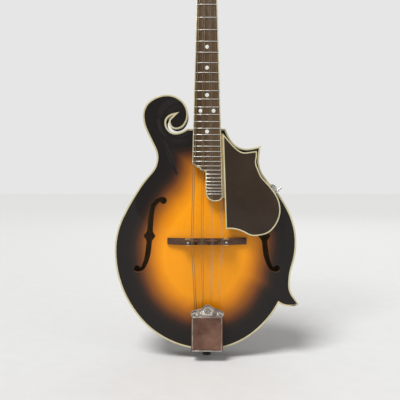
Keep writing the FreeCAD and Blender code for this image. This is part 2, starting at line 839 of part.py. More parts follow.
def make_neck():
    butt = butt_place()
    start = butt + size("heel_length")
    end = size("scale_length") + size("nut_thickness") + size("head_thickness") / 2
    sections = []
    deepest = size("heel_depth")
    for share in HEEL_STATION_SHARES:
        along = start - share * size("heel_length")
        depth = neck_depth(along) + (deepest - neck_depth(along)) * share ** 3
        narrow = 1 - size("heel_taper") * share ** 2
        sections.append(neck_section(along, board_half(along) * narrow, depth))
    sections.reverse()
    sections.append(neck_section(end, board_half(end), neck_depth(end)))
    shaft = twisted_solid(sections)
    half = size("rib_height") / 2
    wide = size("body_width")
    keep = box(-wide, wide, -wide, half + size("plate_edge"), neck_line_height() + size("glue_gap"),
               size("body_length") * 2)
    shaft = shaft.common(neck_from_body(keep))
    tenon = mortise(0).cut(box(-wide, wide, -wide, -half, 0, size("body_length") * 2))
    reach = size("extension_reach")
    block = box(-size("extension_width") / 2, size("extension_width") / 2,
                size("board_thickness"), front_edge(), butt - reach, butt + size("overrun"))
    block = block.cut(neck_from_body(under_top(size("glue_gap") * 2)))
    head = slab(HEAD_OUTLINE, size("veneer_thickness"),
                size("veneer_thickness") + size("head_thickness"))
    ledge = slab(HEAD_OUTLINE, 0, size("head_binding_height"))
    ledge = ledge.cut(slab(head_inset(size("head_binding_width")), 0, size("head_binding_height")))
    head = head.cut(post_holes(sleeve_radius() + size("running_gap")))
    neck = shaft.cut(front_of_head(size("veneer_thickness")))
    neck = neck.fuse([block, neck_from_body(tenon), neck_from_head(head)])
    neck = neck.cut(neck_from_head(ledge))
    deep = size("veneer_thickness") + size("head_thickness") * POCKET_DEPTH_SHARE
    neck = neck.cut(neck_from_head(rod_pocket(size("cover_width") / 2, 0, deep)))
    neck = neck.cut(bore(size("rod_radius") + size("glue_gap"), rod_place(0), rod_place(1), 12))
    add_part("neck", neck, neck_frame())


def head_inset(distance):
    return moved_in(HEAD_OUTLINE, distance)


def rod_place(share):
    """Point on the truss rod's line, 0 at the heel and 1 in the peghead's pocket."""
    low = butt_place() + size("overrun")
    high = size("scale_length") + size("nut_thickness") + size("rod_nut_start")
    depth = size("board_thickness") + size("rod_depth")
    return Vector(0, depth, low + (high - low) * share)


# Fingerboard

BOARD_END_SHARES = (
    (-0.384, 0.2997, 298), (-0.256, 0.2906, 10), (-0.217, 0.2826, 330), (-0.070, 0.2755, 350),
    (-0.051, 0.2680, 270), (-0.051, 0.2030, 270), (0.077, 0.1655, 325), (0.240, 0.1590, 0),
    (0.426, 0.1635, 30),
)
BASS_EDGE_END_SHARE = 0.3053
TREBLE_EDGE_END_SHARE = 0.1740


def board_face():
    """Outline of the fingerboard with its long treble extension."""
    scale = size("scale_length")
    width = size("board_end_width")
    nut = size("nut_width") / 2
    bass_end = BASS_EDGE_END_SHARE * scale
    treble_end = TREBLE_EDGE_END_SHARE * scale
    points = [Vector(-nut, 0, scale), Vector(-board_half(bass_end), 0, bass_end)]
    points += [Vector(share[0] * width, 0, share[1] * scale) for share in BOARD_END_SHARES]
    points += [Vector(board_half(treble_end), 0, treble_end), Vector(nut, 0, scale)]
    edges = []
    for i in range(len(points) - 1):
        edges.append(Part.makeLine(points[i], points[i + 1]))
    edges.append(Part.makeLine(points[-1], points[0]))
    return closed_face(edges)


def fret_place(number):
    """Distance of a fret from the saddle in equal temperament."""
    return size("scale_length") / 2 ** (number / 12)


def fret_marks():
    """Fret numbers that carry dots, with the offsets of the dots."""
    pair = size("dot_pair_spread") / 2
    return ((5, (0,)), (7, (0,)), (10, (0,)), (12, (-pair, pair)), (15, (0,)))


def dot_solids(radius, depth):
    dots = []
    for number, offsets in fret_marks():
        along = (fret_place(number) + fret_place(number - 1)) / 2
        for x in offsets:
            dots.append(prism(radius, Vector(x, 0, along), Vector(x, depth, along), 8))
    return dots


def make_board():
    face = board_face()
    inner = moved_in(face, size("board_binding"))
    board = slab(inner, 0, size("board_thickness"))
    ring = slab(face, 0, size("board_thickness")).cut(board)
    sunk = size("dot_depth") + size("glue_gap")
    for hole in dot_solids(size("dot_radius") + size("glue_gap"), sunk):
        board = board.cut(hole)
    add_part("fingerboard", board, neck_frame())
    add_part("fingerboard_binding", ring, neck_frame())
    add_part("position_dots", Part.makeCompound(dot_solids(size("dot_radius"), size("dot_depth"))),
             neck_frame())


FRET_CROWN_SHARE = 0.45


def make_frets():
    """Fret bars trimmed to the fingerboard's outline."""
    limit = slab(moved_in(board_face(), size("fret_end_inset")), -size("overrun"), 0)
    half = size("fret_width") / 2
    crown = size("fret_crown")
    frets = []
    for number in range(1, int(size("fret_count")) + 1):
        along = fret_place(number)
        corners = (Vector(0, 0, along - half), Vector(0, -crown, along - half * FRET_CROWN_SHARE),
                   Vector(0, -crown, along + half * FRET_CROWN_SHARE), Vector(0, 0, along + half))
        bar = polygon_face(corners)
        bar.translate(Vector(-size("board_end_width"), 0, 0))
        bar = bar.extrude(Vector(size("board_end_width") * 2, 0, 0)).common(limit)
        frets += [solid for solid in bar.Solids if solid.BoundBox.XLength > size("board_thickness")]
    add_part("frets", Part.makeCompound(frets), neck_frame())


# Strings' courses

def course_places(spread, gap):
    """Places across of the eight strings: four courses of two."""
    places = []
    for course in range(4):
        middle = -spread / 2 + spread * course / 3
        places += [middle - gap / 2, middle + gap / 2]
    return places


def string_radii():
    radii = []
    for name in ("string_radius_g", "string_radius_d", "string_radius_a", "string_radius_e"):
        radii += [size(name), size(name)]
    return radii


def nut_string_place(index):
    """Point of a string's axis over the nut, in the neck's frame."""
    x = course_places(size("nut_string_spread"), size("course_gap"))[index]
    y = -size("nut_string_rise") - string_radii()[index]
    return Vector(x, y, size("scale_length") + size("nut_thickness") / 2)


def make_nut():
    scale = size("scale_length")
    half = size("nut_width") / 2
    seat = size("board_thickness")
    low = scale + size("glue_gap")
    high = scale + size("nut_thickness") - size("glue_gap")
    lip = -size("nut_lip")
    corners = (Vector(-half, seat, low), Vector(-half, lip, low), Vector(-half, lip, (low + high) / 2),
               Vector(-half, lip + size("nut_lip"), high), Vector(-half, seat, high))
    nut = polygon_face(corners).extrude(Vector(half * 2, 0, 0))
    for index in range(8):
        place = nut_string_place(index)
        wide = string_radii()[index] + size("glue_gap")
        nut = nut.cut(box(place.x - wide, place.x + wide, lip - size("overrun"),
                          -size("nut_string_rise") + size("glue_gap"), low - size("overrun"),
                          high + size("overrun")))
    nut = nut.cut(front_of_head(size("head_binding_height") + size("glue_gap")))
    add_part("nut", nut, neck_frame())


def make_head_faces():
    inner = head_inset(size("head_binding_width"))
    holes = post_holes(sleeve_radius() + size("running_gap"))
    veneer = slab(inner, 0, size("veneer_thickness")).cut(holes)
    low = size("glue_gap")
    wide = size("head_width")
    keep = box(-wide, wide, -wide, wide, low, size("head_length") + wide)
    veneer = veneer.common(keep)
    deep = size("veneer_thickness")
    veneer = veneer.cut(rod_pocket(size("cover_width") / 2, 0, deep))
    add_part("peghead_veneer", veneer, head_frame())
    ring = slab(HEAD_OUTLINE, 0, size("head_binding_height"))
    ring = ring.cut(slab(inner, 0, size("head_binding_height"))).common(keep)
    add_part("peghead_binding", ring, head_frame())


# Truss rod

def rod_nut_ends():
    """Ends of the truss rod's nut along the neck."""
    end = rod_place(1).z
    return end - size("rod_nut_length"), end


def make_truss_parts():
    start, end = rod_place(0), rod_place(1)
    start = start + Vector(0, 0, size("seat_gap"))
    end = end - Vector(0, 0, size("seat_gap"))
    add_part("truss_rod", prism(size("rod_radius"), start, end, 12), neck_frame())
    low, high = rod_nut_ends()
    depth = start.y
    nut = prism(size("rod_nut_radius"), Vector(0, depth, low), Vector(0, depth, high), 6)
    nut = nut.cut(rod(size("rod_radius") + size("running_gap"),
                      Vector(0, depth, low - size("overrun")), Vector(0, depth, high - size("seat_gap"))))
    add_part("truss_nut", nut, neck_frame())


# Tuners: worm on the button's shaft, gear on the string post, all in the peghead's frame

def back_face():
    """Depth of the tuner plates' outer faces."""
    return size("veneer_thickness") + size("head_thickness") + size("tuner_plate_thickness")


def gear_middle():
    """Depth of the plane in which the worms' axes lie."""
    return back_face() + size("worm_stand_off") + worm_tip_radius()


ADDENDUM_SHARE = 0.875
DEDENDUM_SHARE = 1.125


def worm_tip_radius():
    return size("worm_radius") + size("gear_module") * ADDENDUM_SHARE


def worm_core_radius():
    return size("worm_radius") - size("gear_module") * DEDENDUM_SHARE


def gear_pitch_radius():
    return size("gear_module") * size("gear_teeth") / 2


def gear_tip_radius():
    return gear_pitch_radius() + size("gear_module") * ADDENDUM_SHARE


def gear_face(centre):
    """Outline of a gear with a gap between teeth facing down the peghead."""
    teeth = int(size("gear_teeth"))
    root = gear_pitch_radius() - size("gear_module") * DEDENDUM_SHARE
    tip = gear_tip_radius()
    pitch = math.pi * size("gear_module")
    tip_half = size("tooth_tip_share") * pitch / 2 / tip
    corners = []
    for tooth in range(teeth):
        middle = 2 * math.pi * (tooth + 0.5) / teeth - math.pi / 2
        gap = middle + math.pi / teeth
        for radius, angle in ((tip, middle - tip_half), (tip, middle + tip_half), (root, gap)):
            corners.append(centre + Vector(radius * math.cos(angle), 0, radius * math.sin(angle)))
    return polygon_face(corners)


GEAR_SCREW_SHARE = 0.8


def make_post(number, place):
    """String post with its gear, its collar and the string's winding."""
    front = Vector(place.x, -size("post_front_reach"), place.z)
    middle = gear_middle()
    half = size("gear_thickness") / 2
    low = Vector(place.x, middle - half, place.z)
    high = Vector(place.x, middle + half, place.z)
    post = prism(size("post_radius"), front, high, 8)
    gear = gear_face(low).extrude(high - low)
    head = rod(size("post_radius") * GEAR_SCREW_SHARE, high, high + Vector(0, size("screw_head_height"), 0))
    start = Vector(place.x, -size("winding_start"), place.z)
    end = start - Vector(0, size("winding_length"), 0)
    winding = prism(size("winding_radius"), end, start, 8)
    post = post.fuse([gear, head, winding])
    add_part("string_post_%d" % number, post, head_frame())


THREAD_ROOT_SHARE = 0.8
THREAD_HALF_SHARE = 0.26


def worm_thread(centre):
    """Right-hand thread of flat facets round the worm's core."""
    steps = int(size("worm_steps"))
    lead = math.pi * size("gear_module")
    count = 2 * int(size("worm_length") / lead * steps / 2) - 1
    deep = worm_core_radius() * THREAD_ROOT_SHARE
    half = lead * THREAD_HALF_SHARE
    rows = []
    for step in range(count + 1):
        angle = 2 * math.pi * (step - count / 2) / steps
        x = -lead * angle / (2 * math.pi)
        out = Vector(0, math.sin(angle), math.cos(angle))
        rows.append((centre + out * deep + Vector(x - half, 0, 0),
                     centre + out * worm_tip_radius() + Vector(x, 0, 0),
                     centre + out * deep + Vector(x + half, 0, 0)))
    return twisted_solid(rows)


# Rings of a button: shares of its length, of its width and of its thickness
BUTTON_RING_SHARES = ((0.0, 0.72, 0.7), (0.25, 1.0, 1.0), (0.85, 1.0, 1.0), (1.0, 0.84, 0.7))


def button_solid(side, middle, height):
    """Thumb button with bevelled edges, flat towards the player."""
    rings = []
    low = size("button_reach")
    length = size("button_length")
    for along, wide_share, thick_share in BUTTON_RING_SHARES:
        wide = size("button_width") / 2 * wide_share
        thick = size("button_thickness") / 2 * thick_share
        x = side * (low + length * along)
        edge = size("button_edge")
        rings.append([Vector(x, middle + y, height + z) for y, z in (
            (-thick + edge, -wide), (thick - edge, -wide), (thick, -wide + edge),
            (thick, wide - edge), (thick - edge, wide), (-thick + edge, wide),
            (-thick, wide - edge), (-thick, -wide + edge))])
    return twisted_solid(rings)


def worm_height(place):
    return place.z - gear_pitch_radius() - size("worm_radius")


def make_button(number, place):
    """Button, shaft and worm in one turning piece."""
    side = 1 if place.x > 0 else -1
    middle = gear_middle()
    height = worm_height(place)
    centre = Vector(place.x, middle, height)
    half = size("worm_length") / 2
    inner = place.x - side * (half + size("lug_thickness") * 2)
    shaft = rod(size("shaft_radius"), Vector(inner, middle, height),
                Vector(side * (size("button_reach") + size("overrun")), middle, height))
    core = prism(worm_core_radius(), Vector(place.x - half, middle, height),
                 Vector(place.x + half, middle, height), 8)
    turning = core.fuse([shaft, worm_thread(centre), button_solid(side, middle, height)])
    add_part("tuning_button_%d" % number, turning, head_frame())


def post_places():
    """Places of the posts: the bass side up the peghead, then the treble side down it."""
    heights = tuner_heights()
    places = [Vector(-size("post_offset"), 0, height) for height in heights]
    places += [Vector(size("post_offset"), 0, height) for height in reversed(heights)]
    return places


def lug_spans(place):
    """Spans across of the two lugs that hold one worm."""
    inner = size("worm_length") / 2 + size("seat_gap")
    spans = []
    for way in (-1, 1):
        near = place.x + way * inner
        far = near + way * size("lug_thickness")
        spans.append((min(near, far), max(near, far)))
    return spans


def lug_rise():
    """Reach of a lug from the worm's axis towards the gear, clear of the gear's teeth."""
    free = gear_tip_radius() + size("seat_gap")
    across = size("worm_length") / 2 + size("seat_gap")
    return gear_pitch_radius() + size("worm_radius") - math.sqrt(free ** 2 - across ** 2)


def make_tuner_plates():
    seat = size("veneer_thickness") + size("head_thickness")
    outer = back_face()
    half = size("tuner_plate_width") / 2
    plates = []
    for side in (-1, 1):
        middle = side * size("post_offset")
        low = tuner_heights()[0] - size("tuner_plate_margin")
        high = tuner_heights()[-1] + size("tuner_plate_margin")
        point = half / 2
        corners = (Vector(middle - point, 0, low), Vector(middle + point, 0, low),
                   Vector(middle + half, 0, low + half), Vector(middle + half, 0, high - half),
                   Vector(middle + point, 0, high), Vector(middle - point, 0, high),
                   Vector(middle - half, 0, high - half), Vector(middle - half, 0, low + half))
        plate_solid = slab(polygon_face(corners), seat, outer)
        lugs = []
        holes = []
        for place in post_places():
            if place.x * side < 0:
                continue
            height = worm_height(place)
            wide = size("shaft_radius") + size("lug_thickness")
            top = gear_middle() + wide
            for low_x, high_x in lug_spans(place):
                lugs.append(box(low_x, high_x, seat, top, height - wide, height + lug_rise()))
                holes.append(bore(size("shaft_radius") + size("running_gap"),
                                  Vector(low_x - wide, gear_middle(), height),
                                  Vector(high_x + wide, gear_middle(), height), 6))
            holes.append(bore(size("post_radius") + size("running_gap"),
                              Vector(place.x, seat - wide, place.z),
                              Vector(place.x, outer + wide, place.z), 8))
        plates.append(plate_solid.fuse(lugs).cut(Part.makeCompound(holes)))
    add_part("tuner_plates", Part.makeCompound(plates), head_frame())


def make_bushings():
    """Flanged bushings in the front of the peghead."""
    solids = []
    for place in post_places():
        front = Vector(place.x, -size("bushing_flange_height"), place.z)
        face = Vector(place.x, 0, place.z)
        deep = Vector(place.x, size("bushing_depth"), place.z)
        over = Vector(0, size("overrun"), 0)
        flange = prism(sleeve_radius() + size("bushing_flange"), front, face, 6)
        body = flange.fuse(prism(sleeve_radius(), face, deep, 6))
        hole = bore(size("post_radius") + size("running_gap"), front - over, deep + over, 6)
        solids.append(body.cut(hole))
    add_part("post_bushings", Part.makeCompound(solids), head_frame())


def make_tuners():
    make_tuner_plates()
    make_bushings()
    for number, place in enumerate(post_places(), start=1):
        make_button(number, place)
        make_post(number, place)


# Bridge

def saddle_front():
    """Depth of the strings' undersides at the saddle."""
    return -front_edge() - size("top_arch") - size("bridge_height")


def base_top():
    return -front_edge() - size("top_arch") - size("bridge_base_rise")


def post_x(side):
    return side * size("bridge_post_spread") / 2


BASE_TOP_SHARE = 0.6


def make_bridge_base():
    z = size("saddle_height_up")
    half = size("bridge_base_width") / 2
    deep = size("bridge_base_depth") / 2
    flat = half * BASE_TOP_SHARE
    under = -front_edge()
    crown_share = half / (DOME_HALF_WIDTH_SHARE * size("body_width"))
    foot = under - size("top_arch") * arch_height(crown_share)
    corners = (Vector(-half, under, z), Vector(-half, foot - size("bridge_end_height"), z),
               Vector(-flat, base_top(), z), Vector(flat, base_top(), z),
               Vector(half, foot - size("bridge_end_height"), z), Vector(half, under, z))
    face = polygon_face(corners)
    face.translate(Vector(0, 0, -deep))
    base = face.extrude(Vector(0, 0, deep * 2))
    base = base.cut(under_top(size("glue_gap") * 2))
    inner = half - size("bridge_foot_length")
    relief = under_top(size("bridge_relief"))
    relief = relief.common(box(-inner, inner, base_top(), 0, z - 2 * deep, z + 2 * deep))
    base = base.cut(relief)
    for side in (-1, 1):
        sunk = base_top() + size("bridge_post_sink") + size("glue_gap")
        base = base.cut(bore(size("bridge_post_radius") + size("glue_gap"),
                             Vector(post_x(side), base_top() - size("overrun"), z),
                             Vector(post_x(side), sunk, z)))
    add_part("bridge_base", base, body_frame())


def make_bridge_posts():
    z = size("saddle_height_up")
    posts = []
    for side in (-1, 1):
        low = base_top() + size("bridge_post_sink")
        posts.append(prism(size("bridge_post_radius"), Vector(post_x(side), low, z),
                           Vector(post_x(side), low - size("bridge_post_length"), z)))
    add_part("bridge_posts", Part.makeCompound(posts), body_frame())


def wheel_back():
    return base_top() - size("saddle_drop_room")


def make_thumbwheels():
    z = size("saddle_height_up")
    grooves = int(size("wheel_grooves"))
    for label, side in (("thumbwheel_bass", -1), ("thumbwheel_treble", 1)):
        corners = []
        for step in range(grooves * 2):
            radius = size("wheel_radius") - (step % 2) * size("wheel_groove_radius")
            angle = math.pi * step / grooves
            corners.append(Vector(post_x(side) + radius * math.cos(angle), 0,
                                  z + radius * math.sin(angle)))
        back = wheel_back()
        wheel = slab(polygon_face(corners), back, back - size("wheel_thickness"))
        wheel = wheel.cut(rod(size("bridge_post_radius") + size("running_gap"),
                              Vector(post_x(side), back + size("overrun"), z),
                              Vector(post_x(side), back - size("wheel_thickness") * 2, z)))
        add_part(label, wheel, body_frame())


CREST_SHIFT_SHARES = (0.30, -0.30, 0.30, -0.30)


def crest_place(course):
    """Distance above the tail of a course's crest on the saddle."""
    return size("saddle_height_up") + CREST_SHIFT_SHARES[course] * size("saddle_depth")


def make_saddle():
    z = size("saddle_height_up")
    back = wheel_back() - size("wheel_thickness") - size("saddle_seat")
    front = saddle_front() + size("glue_gap")
    half = size("saddle_width") / 2
    deep = size("saddle_depth") / 2
    shoulder = front + size("saddle_step") * 3
    body = box(-half, half, shoulder, back, z - deep, z + deep)
    spread = size("saddle_string_spread")
    crests = []
    for course in range(len(CREST_SHIFT_SHARES)):
        middle = -spread / 2 + spread * course / 3
        wide = spread / 6
        centre = crest_place(course)
        low = max(centre - size("saddle_crest"), z - deep)
        high = min(centre + size("saddle_crest"), z + deep)
        edge = size("saddle_crest_edge") / 2
        corners = (Vector(middle - wide, shoulder, low), Vector(middle - wide, front, centre - edge),
                   Vector(middle - wide, front, centre + edge), Vector(middle - wide, shoulder, high))
        crests.append(polygon_face(corners).extrude(Vector(wide * 2, 0, 0)))
    saddle = body.fuse(crests)
    for side in (-1, 1):
        saddle = saddle.cut(bore(size("bridge_post_radius") + size("running_gap") * 2,
                                 Vector(post_x(side), back + size("overrun"), z),
                                 Vector(post_x(side), post_tip() - size("running_gap") * 3, z)))
    add_part("bridge_saddle", saddle, body_frame())


def post_tip():
    """Front ends of the bridge's posts, with the saddle's lowest place in mind."""
    return base_top() + size("bridge_post_sink") - size("bridge_post_length") - size("saddle_travel")


# Tailpiece, end pin

def leg_face():
    """Depth below the tail of the tailpiece leg's outer face."""
    return -size("leg_gap") - size("tailpiece_sheet")


def hook_places():
    return course_places(size("tail_string_spread"), size("course_gap"))


HOOK_HALF_WIDTH_SHARE = 0.7
HOOK_TIP_SHARE = 1.12
HOOK_TURN_SHARE = 2.8
LOOP_PLACE_SHARE = 1.6


def make_tailpiece_base():
    front = -front_edge() - size("tailpiece_rise") - size("tailpiece_sheet")
    half = size("tailpiece_width") / 2
    sheet_back = front + size("tailpiece_sheet")
    base = box(-half, half, front, sheet_back, leg_face(), size("tailpiece_length"))
    leg = box(-half, half, front, size("tailpiece_tail_reach"), leg_face(), -size("leg_gap"))
    pieces = [leg]
    z = size("tailpiece_length") - size("hook_inset")
    r = size("hook_radius") * HOOK_HALF_WIDTH_SHARE
    tip = size("hook_radius") * HOOK_TIP_SHARE
    turn = size("hook_radius") * HOOK_TURN_SHARE
    for x in hook_places():
        pieces.append(box(x - r, x + r, front - size("hook_height"), sheet_back, z - r, z + r))
        pieces.append(box(x - r, x + r, front - size("hook_height"),
                          front - size("hook_height") + tip, z - turn, z + r))
    base = base.fuse(pieces)
    over = size("overrun")
    hole = bore(size("end_pin_shank_radius") + size("running_gap"),
                Vector(0, 0, leg_face() - over), Vector(0, 0, over), int(size("pin_sides")))
    add_part("tailpiece_base", base.cut(hole), body_frame())


CLOUD_SHARES = (
    (-0.468, 0.00, 95), (-0.481, 0.34, 100), (-0.380, 0.52, 20), (-0.179, 0.65, 20),
    (-0.094, 0.85, 45), (0.017, 1.00, 0), (0.126, 0.85, 315), (0.247, 0.68, 350),
    (0.400, 0.51, 330), (0.502, 0.24, 270), (0.468, 0.00, 250),
)


def make_tailpiece_cover():
    """Sheet cover with rolled side edges and a cloud-shaped front."""
    front = -front_edge() - size("tail_cover_rise") - size("tail_cover_sheet")
    sheet_back = front + size("tail_cover_sheet")
    half = size("tail_cover_width") / 2
    sheet_wall = size("tail_cover_sheet")
    low = leg_face() - size("seat_gap") - sheet_wall
    high = size("tail_cover_length")
    cloud = [Vector(share[0] * size("cloud_width"), 0, high + share[1] * size("cloud_length"))
             for share in CLOUD_SHARES]
    edges = [Part.makeLine(cloud[-1], Vector(half, 0, low)),
             Part.makeLine(Vector(half, 0, low), Vector(-half, 0, low)),
             Part.makeLine(Vector(-half, 0, low), cloud[0])]
    edges += tangent_arcs(cloud, [share[2] for share in CLOUD_SHARES])
    cover = slab(chorded(edges, size("chord_sag") / 2), front, sheet_back)
    deep = front + size("tail_cover_side")
    bead = size("tail_cover_bead")
    pieces = [box(-half, half, front, front + size("tail_cover_end"), low, low + sheet_wall)]
    for side in (-1, 1):
        outer = side * half
        inner = side * (half - sheet_wall)
        pieces.append(box(min(outer, inner), max(outer, inner), front, deep, low, high))
        pieces.append(prism(bead, Vector(outer - side * bead, front - bead / 2, low + bead),
                            Vector(outer - side * bead, front - bead / 2, high), 6))
    add_part("tailpiece_cover", cover.fuse(pieces), body_frame())


def make_end_pin():
    """Turned strap button whose outer face is the origin of the whole instrument."""
    tip = -size("end_pin_reach")
    head = tip + size("end_pin_head_height")
    flange = leg_face() - size("end_pin_flange_height")
    bevel = size("end_pin_head_height") / 4
    shank = size("end_pin_shank_length")
    round_head = rod(size("end_pin_head_radius"), Vector(0, 0, tip), Vector(0, 0, head))
    outline = ((size("end_pin_waist_radius") + bevel, head), (size("end_pin_waist_radius"), head + bevel),
               (size("end_pin_waist_radius"), flange - bevel), (size("end_pin_flange_radius"), flange),
               (size("end_pin_flange_radius"), leg_face()), (size("end_pin_shank_radius"), leg_face()),
               (size("end_pin_shank_radius"), shank))
    pin = round_head.fuse(turned(outline, int(size("pin_sides"))))
    add_part("end_pin", pin, body_frame())


# Strings

def string_path(index):
    """Bends of one string from its hook over the saddle and the nut to its post."""
    radius = string_radii()[index]
    into_body = body_frame().inverse()
    hook_z = size("tailpiece_length") - size("hook_inset")
    front = -front_edge() - size("tailpiece_rise") - size("tailpiece_sheet")
    x = hook_places()[index]
    start = Vector(x, front - size("hook_height") / 2, hook_z + size("hook_radius") * LOOP_PLACE_SHARE)
    x = course_places(size("saddle_string_spread"), size("course_gap"))[index]
    saddle = Vector(x, saddle_front() - radius, crest_place(index // 2))
    nut = into_body.multiply(neck_frame()).multVec(nut_string_place(index))
    place = post_places()[index]
    side = 1 if place.x > 0 else -1
    reach = size("winding_radius") + radius + size("glue_gap")
    y = -size("winding_start") - size("winding_length") / 2
    post = Vector(place.x - side * reach, y, place.z)
    post = into_body.multiply(head_frame()).multVec(post)
    return radius, (start, saddle, nut, post)


def string_solid(index):
    """String as a bar with flat sides through its bends, with a loop over its hook."""
    radius, bends = string_path(index)
    sides = int(size("string_sides"))
    rings = []
    for bend in bends:
        rings.append([bend + Vector(radius * math.cos(angle), radius * math.sin(angle), 0)
                      for angle in [2 * math.pi * (side + 0.5) / sides for side in range(sides)]])
    return twisted_solid(rings)


def make_strings():
    add_part("wound_strings", Part.makeCompound([string_solid(i) for i in range(4)]), body_frame())
    add_part("plain_strings", Part.makeCompound([string_solid(i) for i in range(4, 8)]),
             body_frame())


# Pickguard and its bracket, in the neck's frame

GUARD_TOP_SHARES = ((0.275, 1.062, 312), (0.547, 0.899, 322), (0.868, 0.890, 8))
GUARD_SIDE_SHARES = (
    (0.868, 0.890, 280), (0.870, 0.740, 290), (1.000, 0.603, 315), (1.272, 0.317, 270),
    (1.120, 0.120, 225), (0.825, 0.062, 182), (0.563, 0.115, 160), (0.323, 0.130, 185),
)


def guard_face():
    """Outline of the pickguard beside the fingerboard."""
    def at(share):
        return Vector(share[0] * size("guard_width"), 0, share[1] * size("guard_length"))

    top = [at(share) for share in GUARD_TOP_SHARES]
    side = [at(share) for share in GUARD_SIDE_SHARES]
    edges = [Part.makeLine(side[-1], top[0])]
    edges += tangent_arcs(top, [share[2] for share in GUARD_TOP_SHARES])
    edges += tangent_arcs(side, [share[2] for share in GUARD_SIDE_SHARES])
    return chorded(edges, size("chord_sag"))


def make_pickguard():
    face = guard_face()
    inner = moved_in(face, size("guard_binding"))
    front = size("guard_drop")
    back = front + size("guard_thickness")
    add_part("pickguard", slab(inner, front, back), neck_frame())
    add_part("pickguard_binding", slab(face, front, back).cut(slab(inner, front, back)),
             neck_frame())


BRACKET_SHARE = (0.360, 0.637)
BRACKET_TURN = 42.0


def bracket_frame():
    """Frame at the rim, X outwards and Z along the rim, within the body's frame."""
    rim = on_body(BRACKET_SHARE)
    return Placement(rim, Rotation(Vector(0, 1, 0), -BRACKET_TURN))


def make_bracket():
    """Arm under the pickguard, hooks over both plates' edges and the screw barrel."""
    sheet_wall = size("bracket_sheet")
    half = size("bracket_width") / 2
    gap = size("seat_gap")
    edge = front_edge()
    reach = size("bracket_reach")
    outer = gap + sheet_wall
    placing = body_frame().multiply(bracket_frame())
    into_neck = neck_frame().inverse().multiply(placing)
    corners = []
    for x, z in ((-reach, -half), (outer, -half), (outer, half), (-reach, half)):
        point = into_neck.multVec(Vector(x, -edge - size("top_arch"), z))
        corners.append(Vector(point.x, 0, point.z))
    back = size("guard_drop") + size("guard_thickness")
    arm = slab(polygon_face(corners), back, back + sheet_wall)
    arm = arm.transformed(placing.inverse().multiply(neck_frame()).toMatrix())
    rise = arm.BoundBox.YMin + sheet_wall * 2
    pieces = [box(gap, outer, rise, -edge - gap, -half, half)]
    lip = size("bracket_lip")
    pieces.append(box(-lip, outer, -edge - gap - sheet_wall, -edge - gap, -half, half))
    pieces.append(box(-lip, outer, edge + gap, edge + gap + sheet_wall, -half, half))
    barrel = size("bracket_barrel_radius")
    out = gap + barrel
    pieces.append(prism(barrel, Vector(out, -edge / 2, 0), Vector(out, edge / 2, 0), 12))
    pieces.append(prism(barrel / 2, Vector(out, -edge - gap - sheet_wall, 0),
                        Vector(out, edge + gap + sheet_wall, 0), 8))
    pieces.append(box(0, out + barrel / 2, -edge - gap - sheet_wall, -edge - gap, -half / 2, half / 2))
    pieces.append(box(0, out + barrel / 2, edge + gap, edge + gap + sheet_wall, -half / 2, half / 2))
    add_part("pickguard_bracket", arm.fuse(pieces), placing)


# Right half of the bell: shares of the cover's half width and of its length
BELL_SHARES = ((1.0, 0.0), (0.92, 0.273), (0.5, 0.6), (0.28, 0.918))


def make_cover():
    """Bell-shaped cover over the truss rod's nut."""
    half = size("cover_width") / 2
    low = size("cover_start")
    length = size("cover_length")
    right = [Vector(half * across, 0, low + length * up) for across, up in BELL_SHARES]
    left = [Vector(-corner.x, 0, corner.z) for corner in reversed(right)]
    corners = right + [Vector(0, 0, low + length)] + left
    cover = slab(polygon_face(corners), -size("cover_thickness"), 0)
    add_part("truss_cover", cover, head_frame())


def make_all():
    for make in (make_plates, make_ribs, make_blocks, make_linings, make_tone_bars, make_binding,
                 make_neck, make_board, make_frets, make_nut, make_head_faces, make_truss_parts,
                 make_cover, make_tuners, make_bridge_base, make_bridge_posts,
                 make_thumbwheels, make_saddle, make_tailpiece_base,
                 make_tailpiece_cover, make_end_pin, make_strings, make_pickguard, make_bracket):
        make()


def export_parts():
    """Check every piece and write it as its own file."""
    doc.recompute()
    for feature in doc.Objects:
        if "Invalid" in feature.State or "Error" in feature.State:
            raise RuntimeError("not computed: " + feature.Label)
    os.makedirs("parts", exist_ok=True)
    for feature in parts:
        if feature.Shape.isNull() or not feature.Shape.isValid():
            raise RuntimeError("not a valid shape: " + feature.Label)
        feature.Shape.exportStep("parts/%s.step" % feature.Label)


make_all()
export_parts()
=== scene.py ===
import json
import logging
import math
from dataclasses import dataclass
from enum import Enum

import bmesh
import bpy
import numpy as np
from mathutils import Matrix, Vector

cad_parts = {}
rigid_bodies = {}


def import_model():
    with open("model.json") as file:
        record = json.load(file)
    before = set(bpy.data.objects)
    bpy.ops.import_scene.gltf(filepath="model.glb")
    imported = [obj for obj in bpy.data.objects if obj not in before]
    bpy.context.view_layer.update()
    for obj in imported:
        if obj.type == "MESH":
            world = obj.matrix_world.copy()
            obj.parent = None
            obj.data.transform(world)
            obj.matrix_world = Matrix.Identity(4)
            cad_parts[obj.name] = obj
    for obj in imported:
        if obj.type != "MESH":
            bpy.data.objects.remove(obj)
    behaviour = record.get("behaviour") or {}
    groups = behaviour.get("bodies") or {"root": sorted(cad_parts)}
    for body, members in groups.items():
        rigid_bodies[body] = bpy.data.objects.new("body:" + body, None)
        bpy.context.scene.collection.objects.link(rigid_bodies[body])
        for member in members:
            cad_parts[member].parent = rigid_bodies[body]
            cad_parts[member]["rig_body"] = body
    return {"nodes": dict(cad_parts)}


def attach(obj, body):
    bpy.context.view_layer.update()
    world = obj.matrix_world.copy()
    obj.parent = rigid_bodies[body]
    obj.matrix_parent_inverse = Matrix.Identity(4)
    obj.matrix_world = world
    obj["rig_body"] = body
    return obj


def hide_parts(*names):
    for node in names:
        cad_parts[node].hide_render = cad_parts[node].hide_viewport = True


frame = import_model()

LOG = logging.getLogger("mandolin")
MM = 0.001
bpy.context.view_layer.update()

Pair = tuple[float, float]
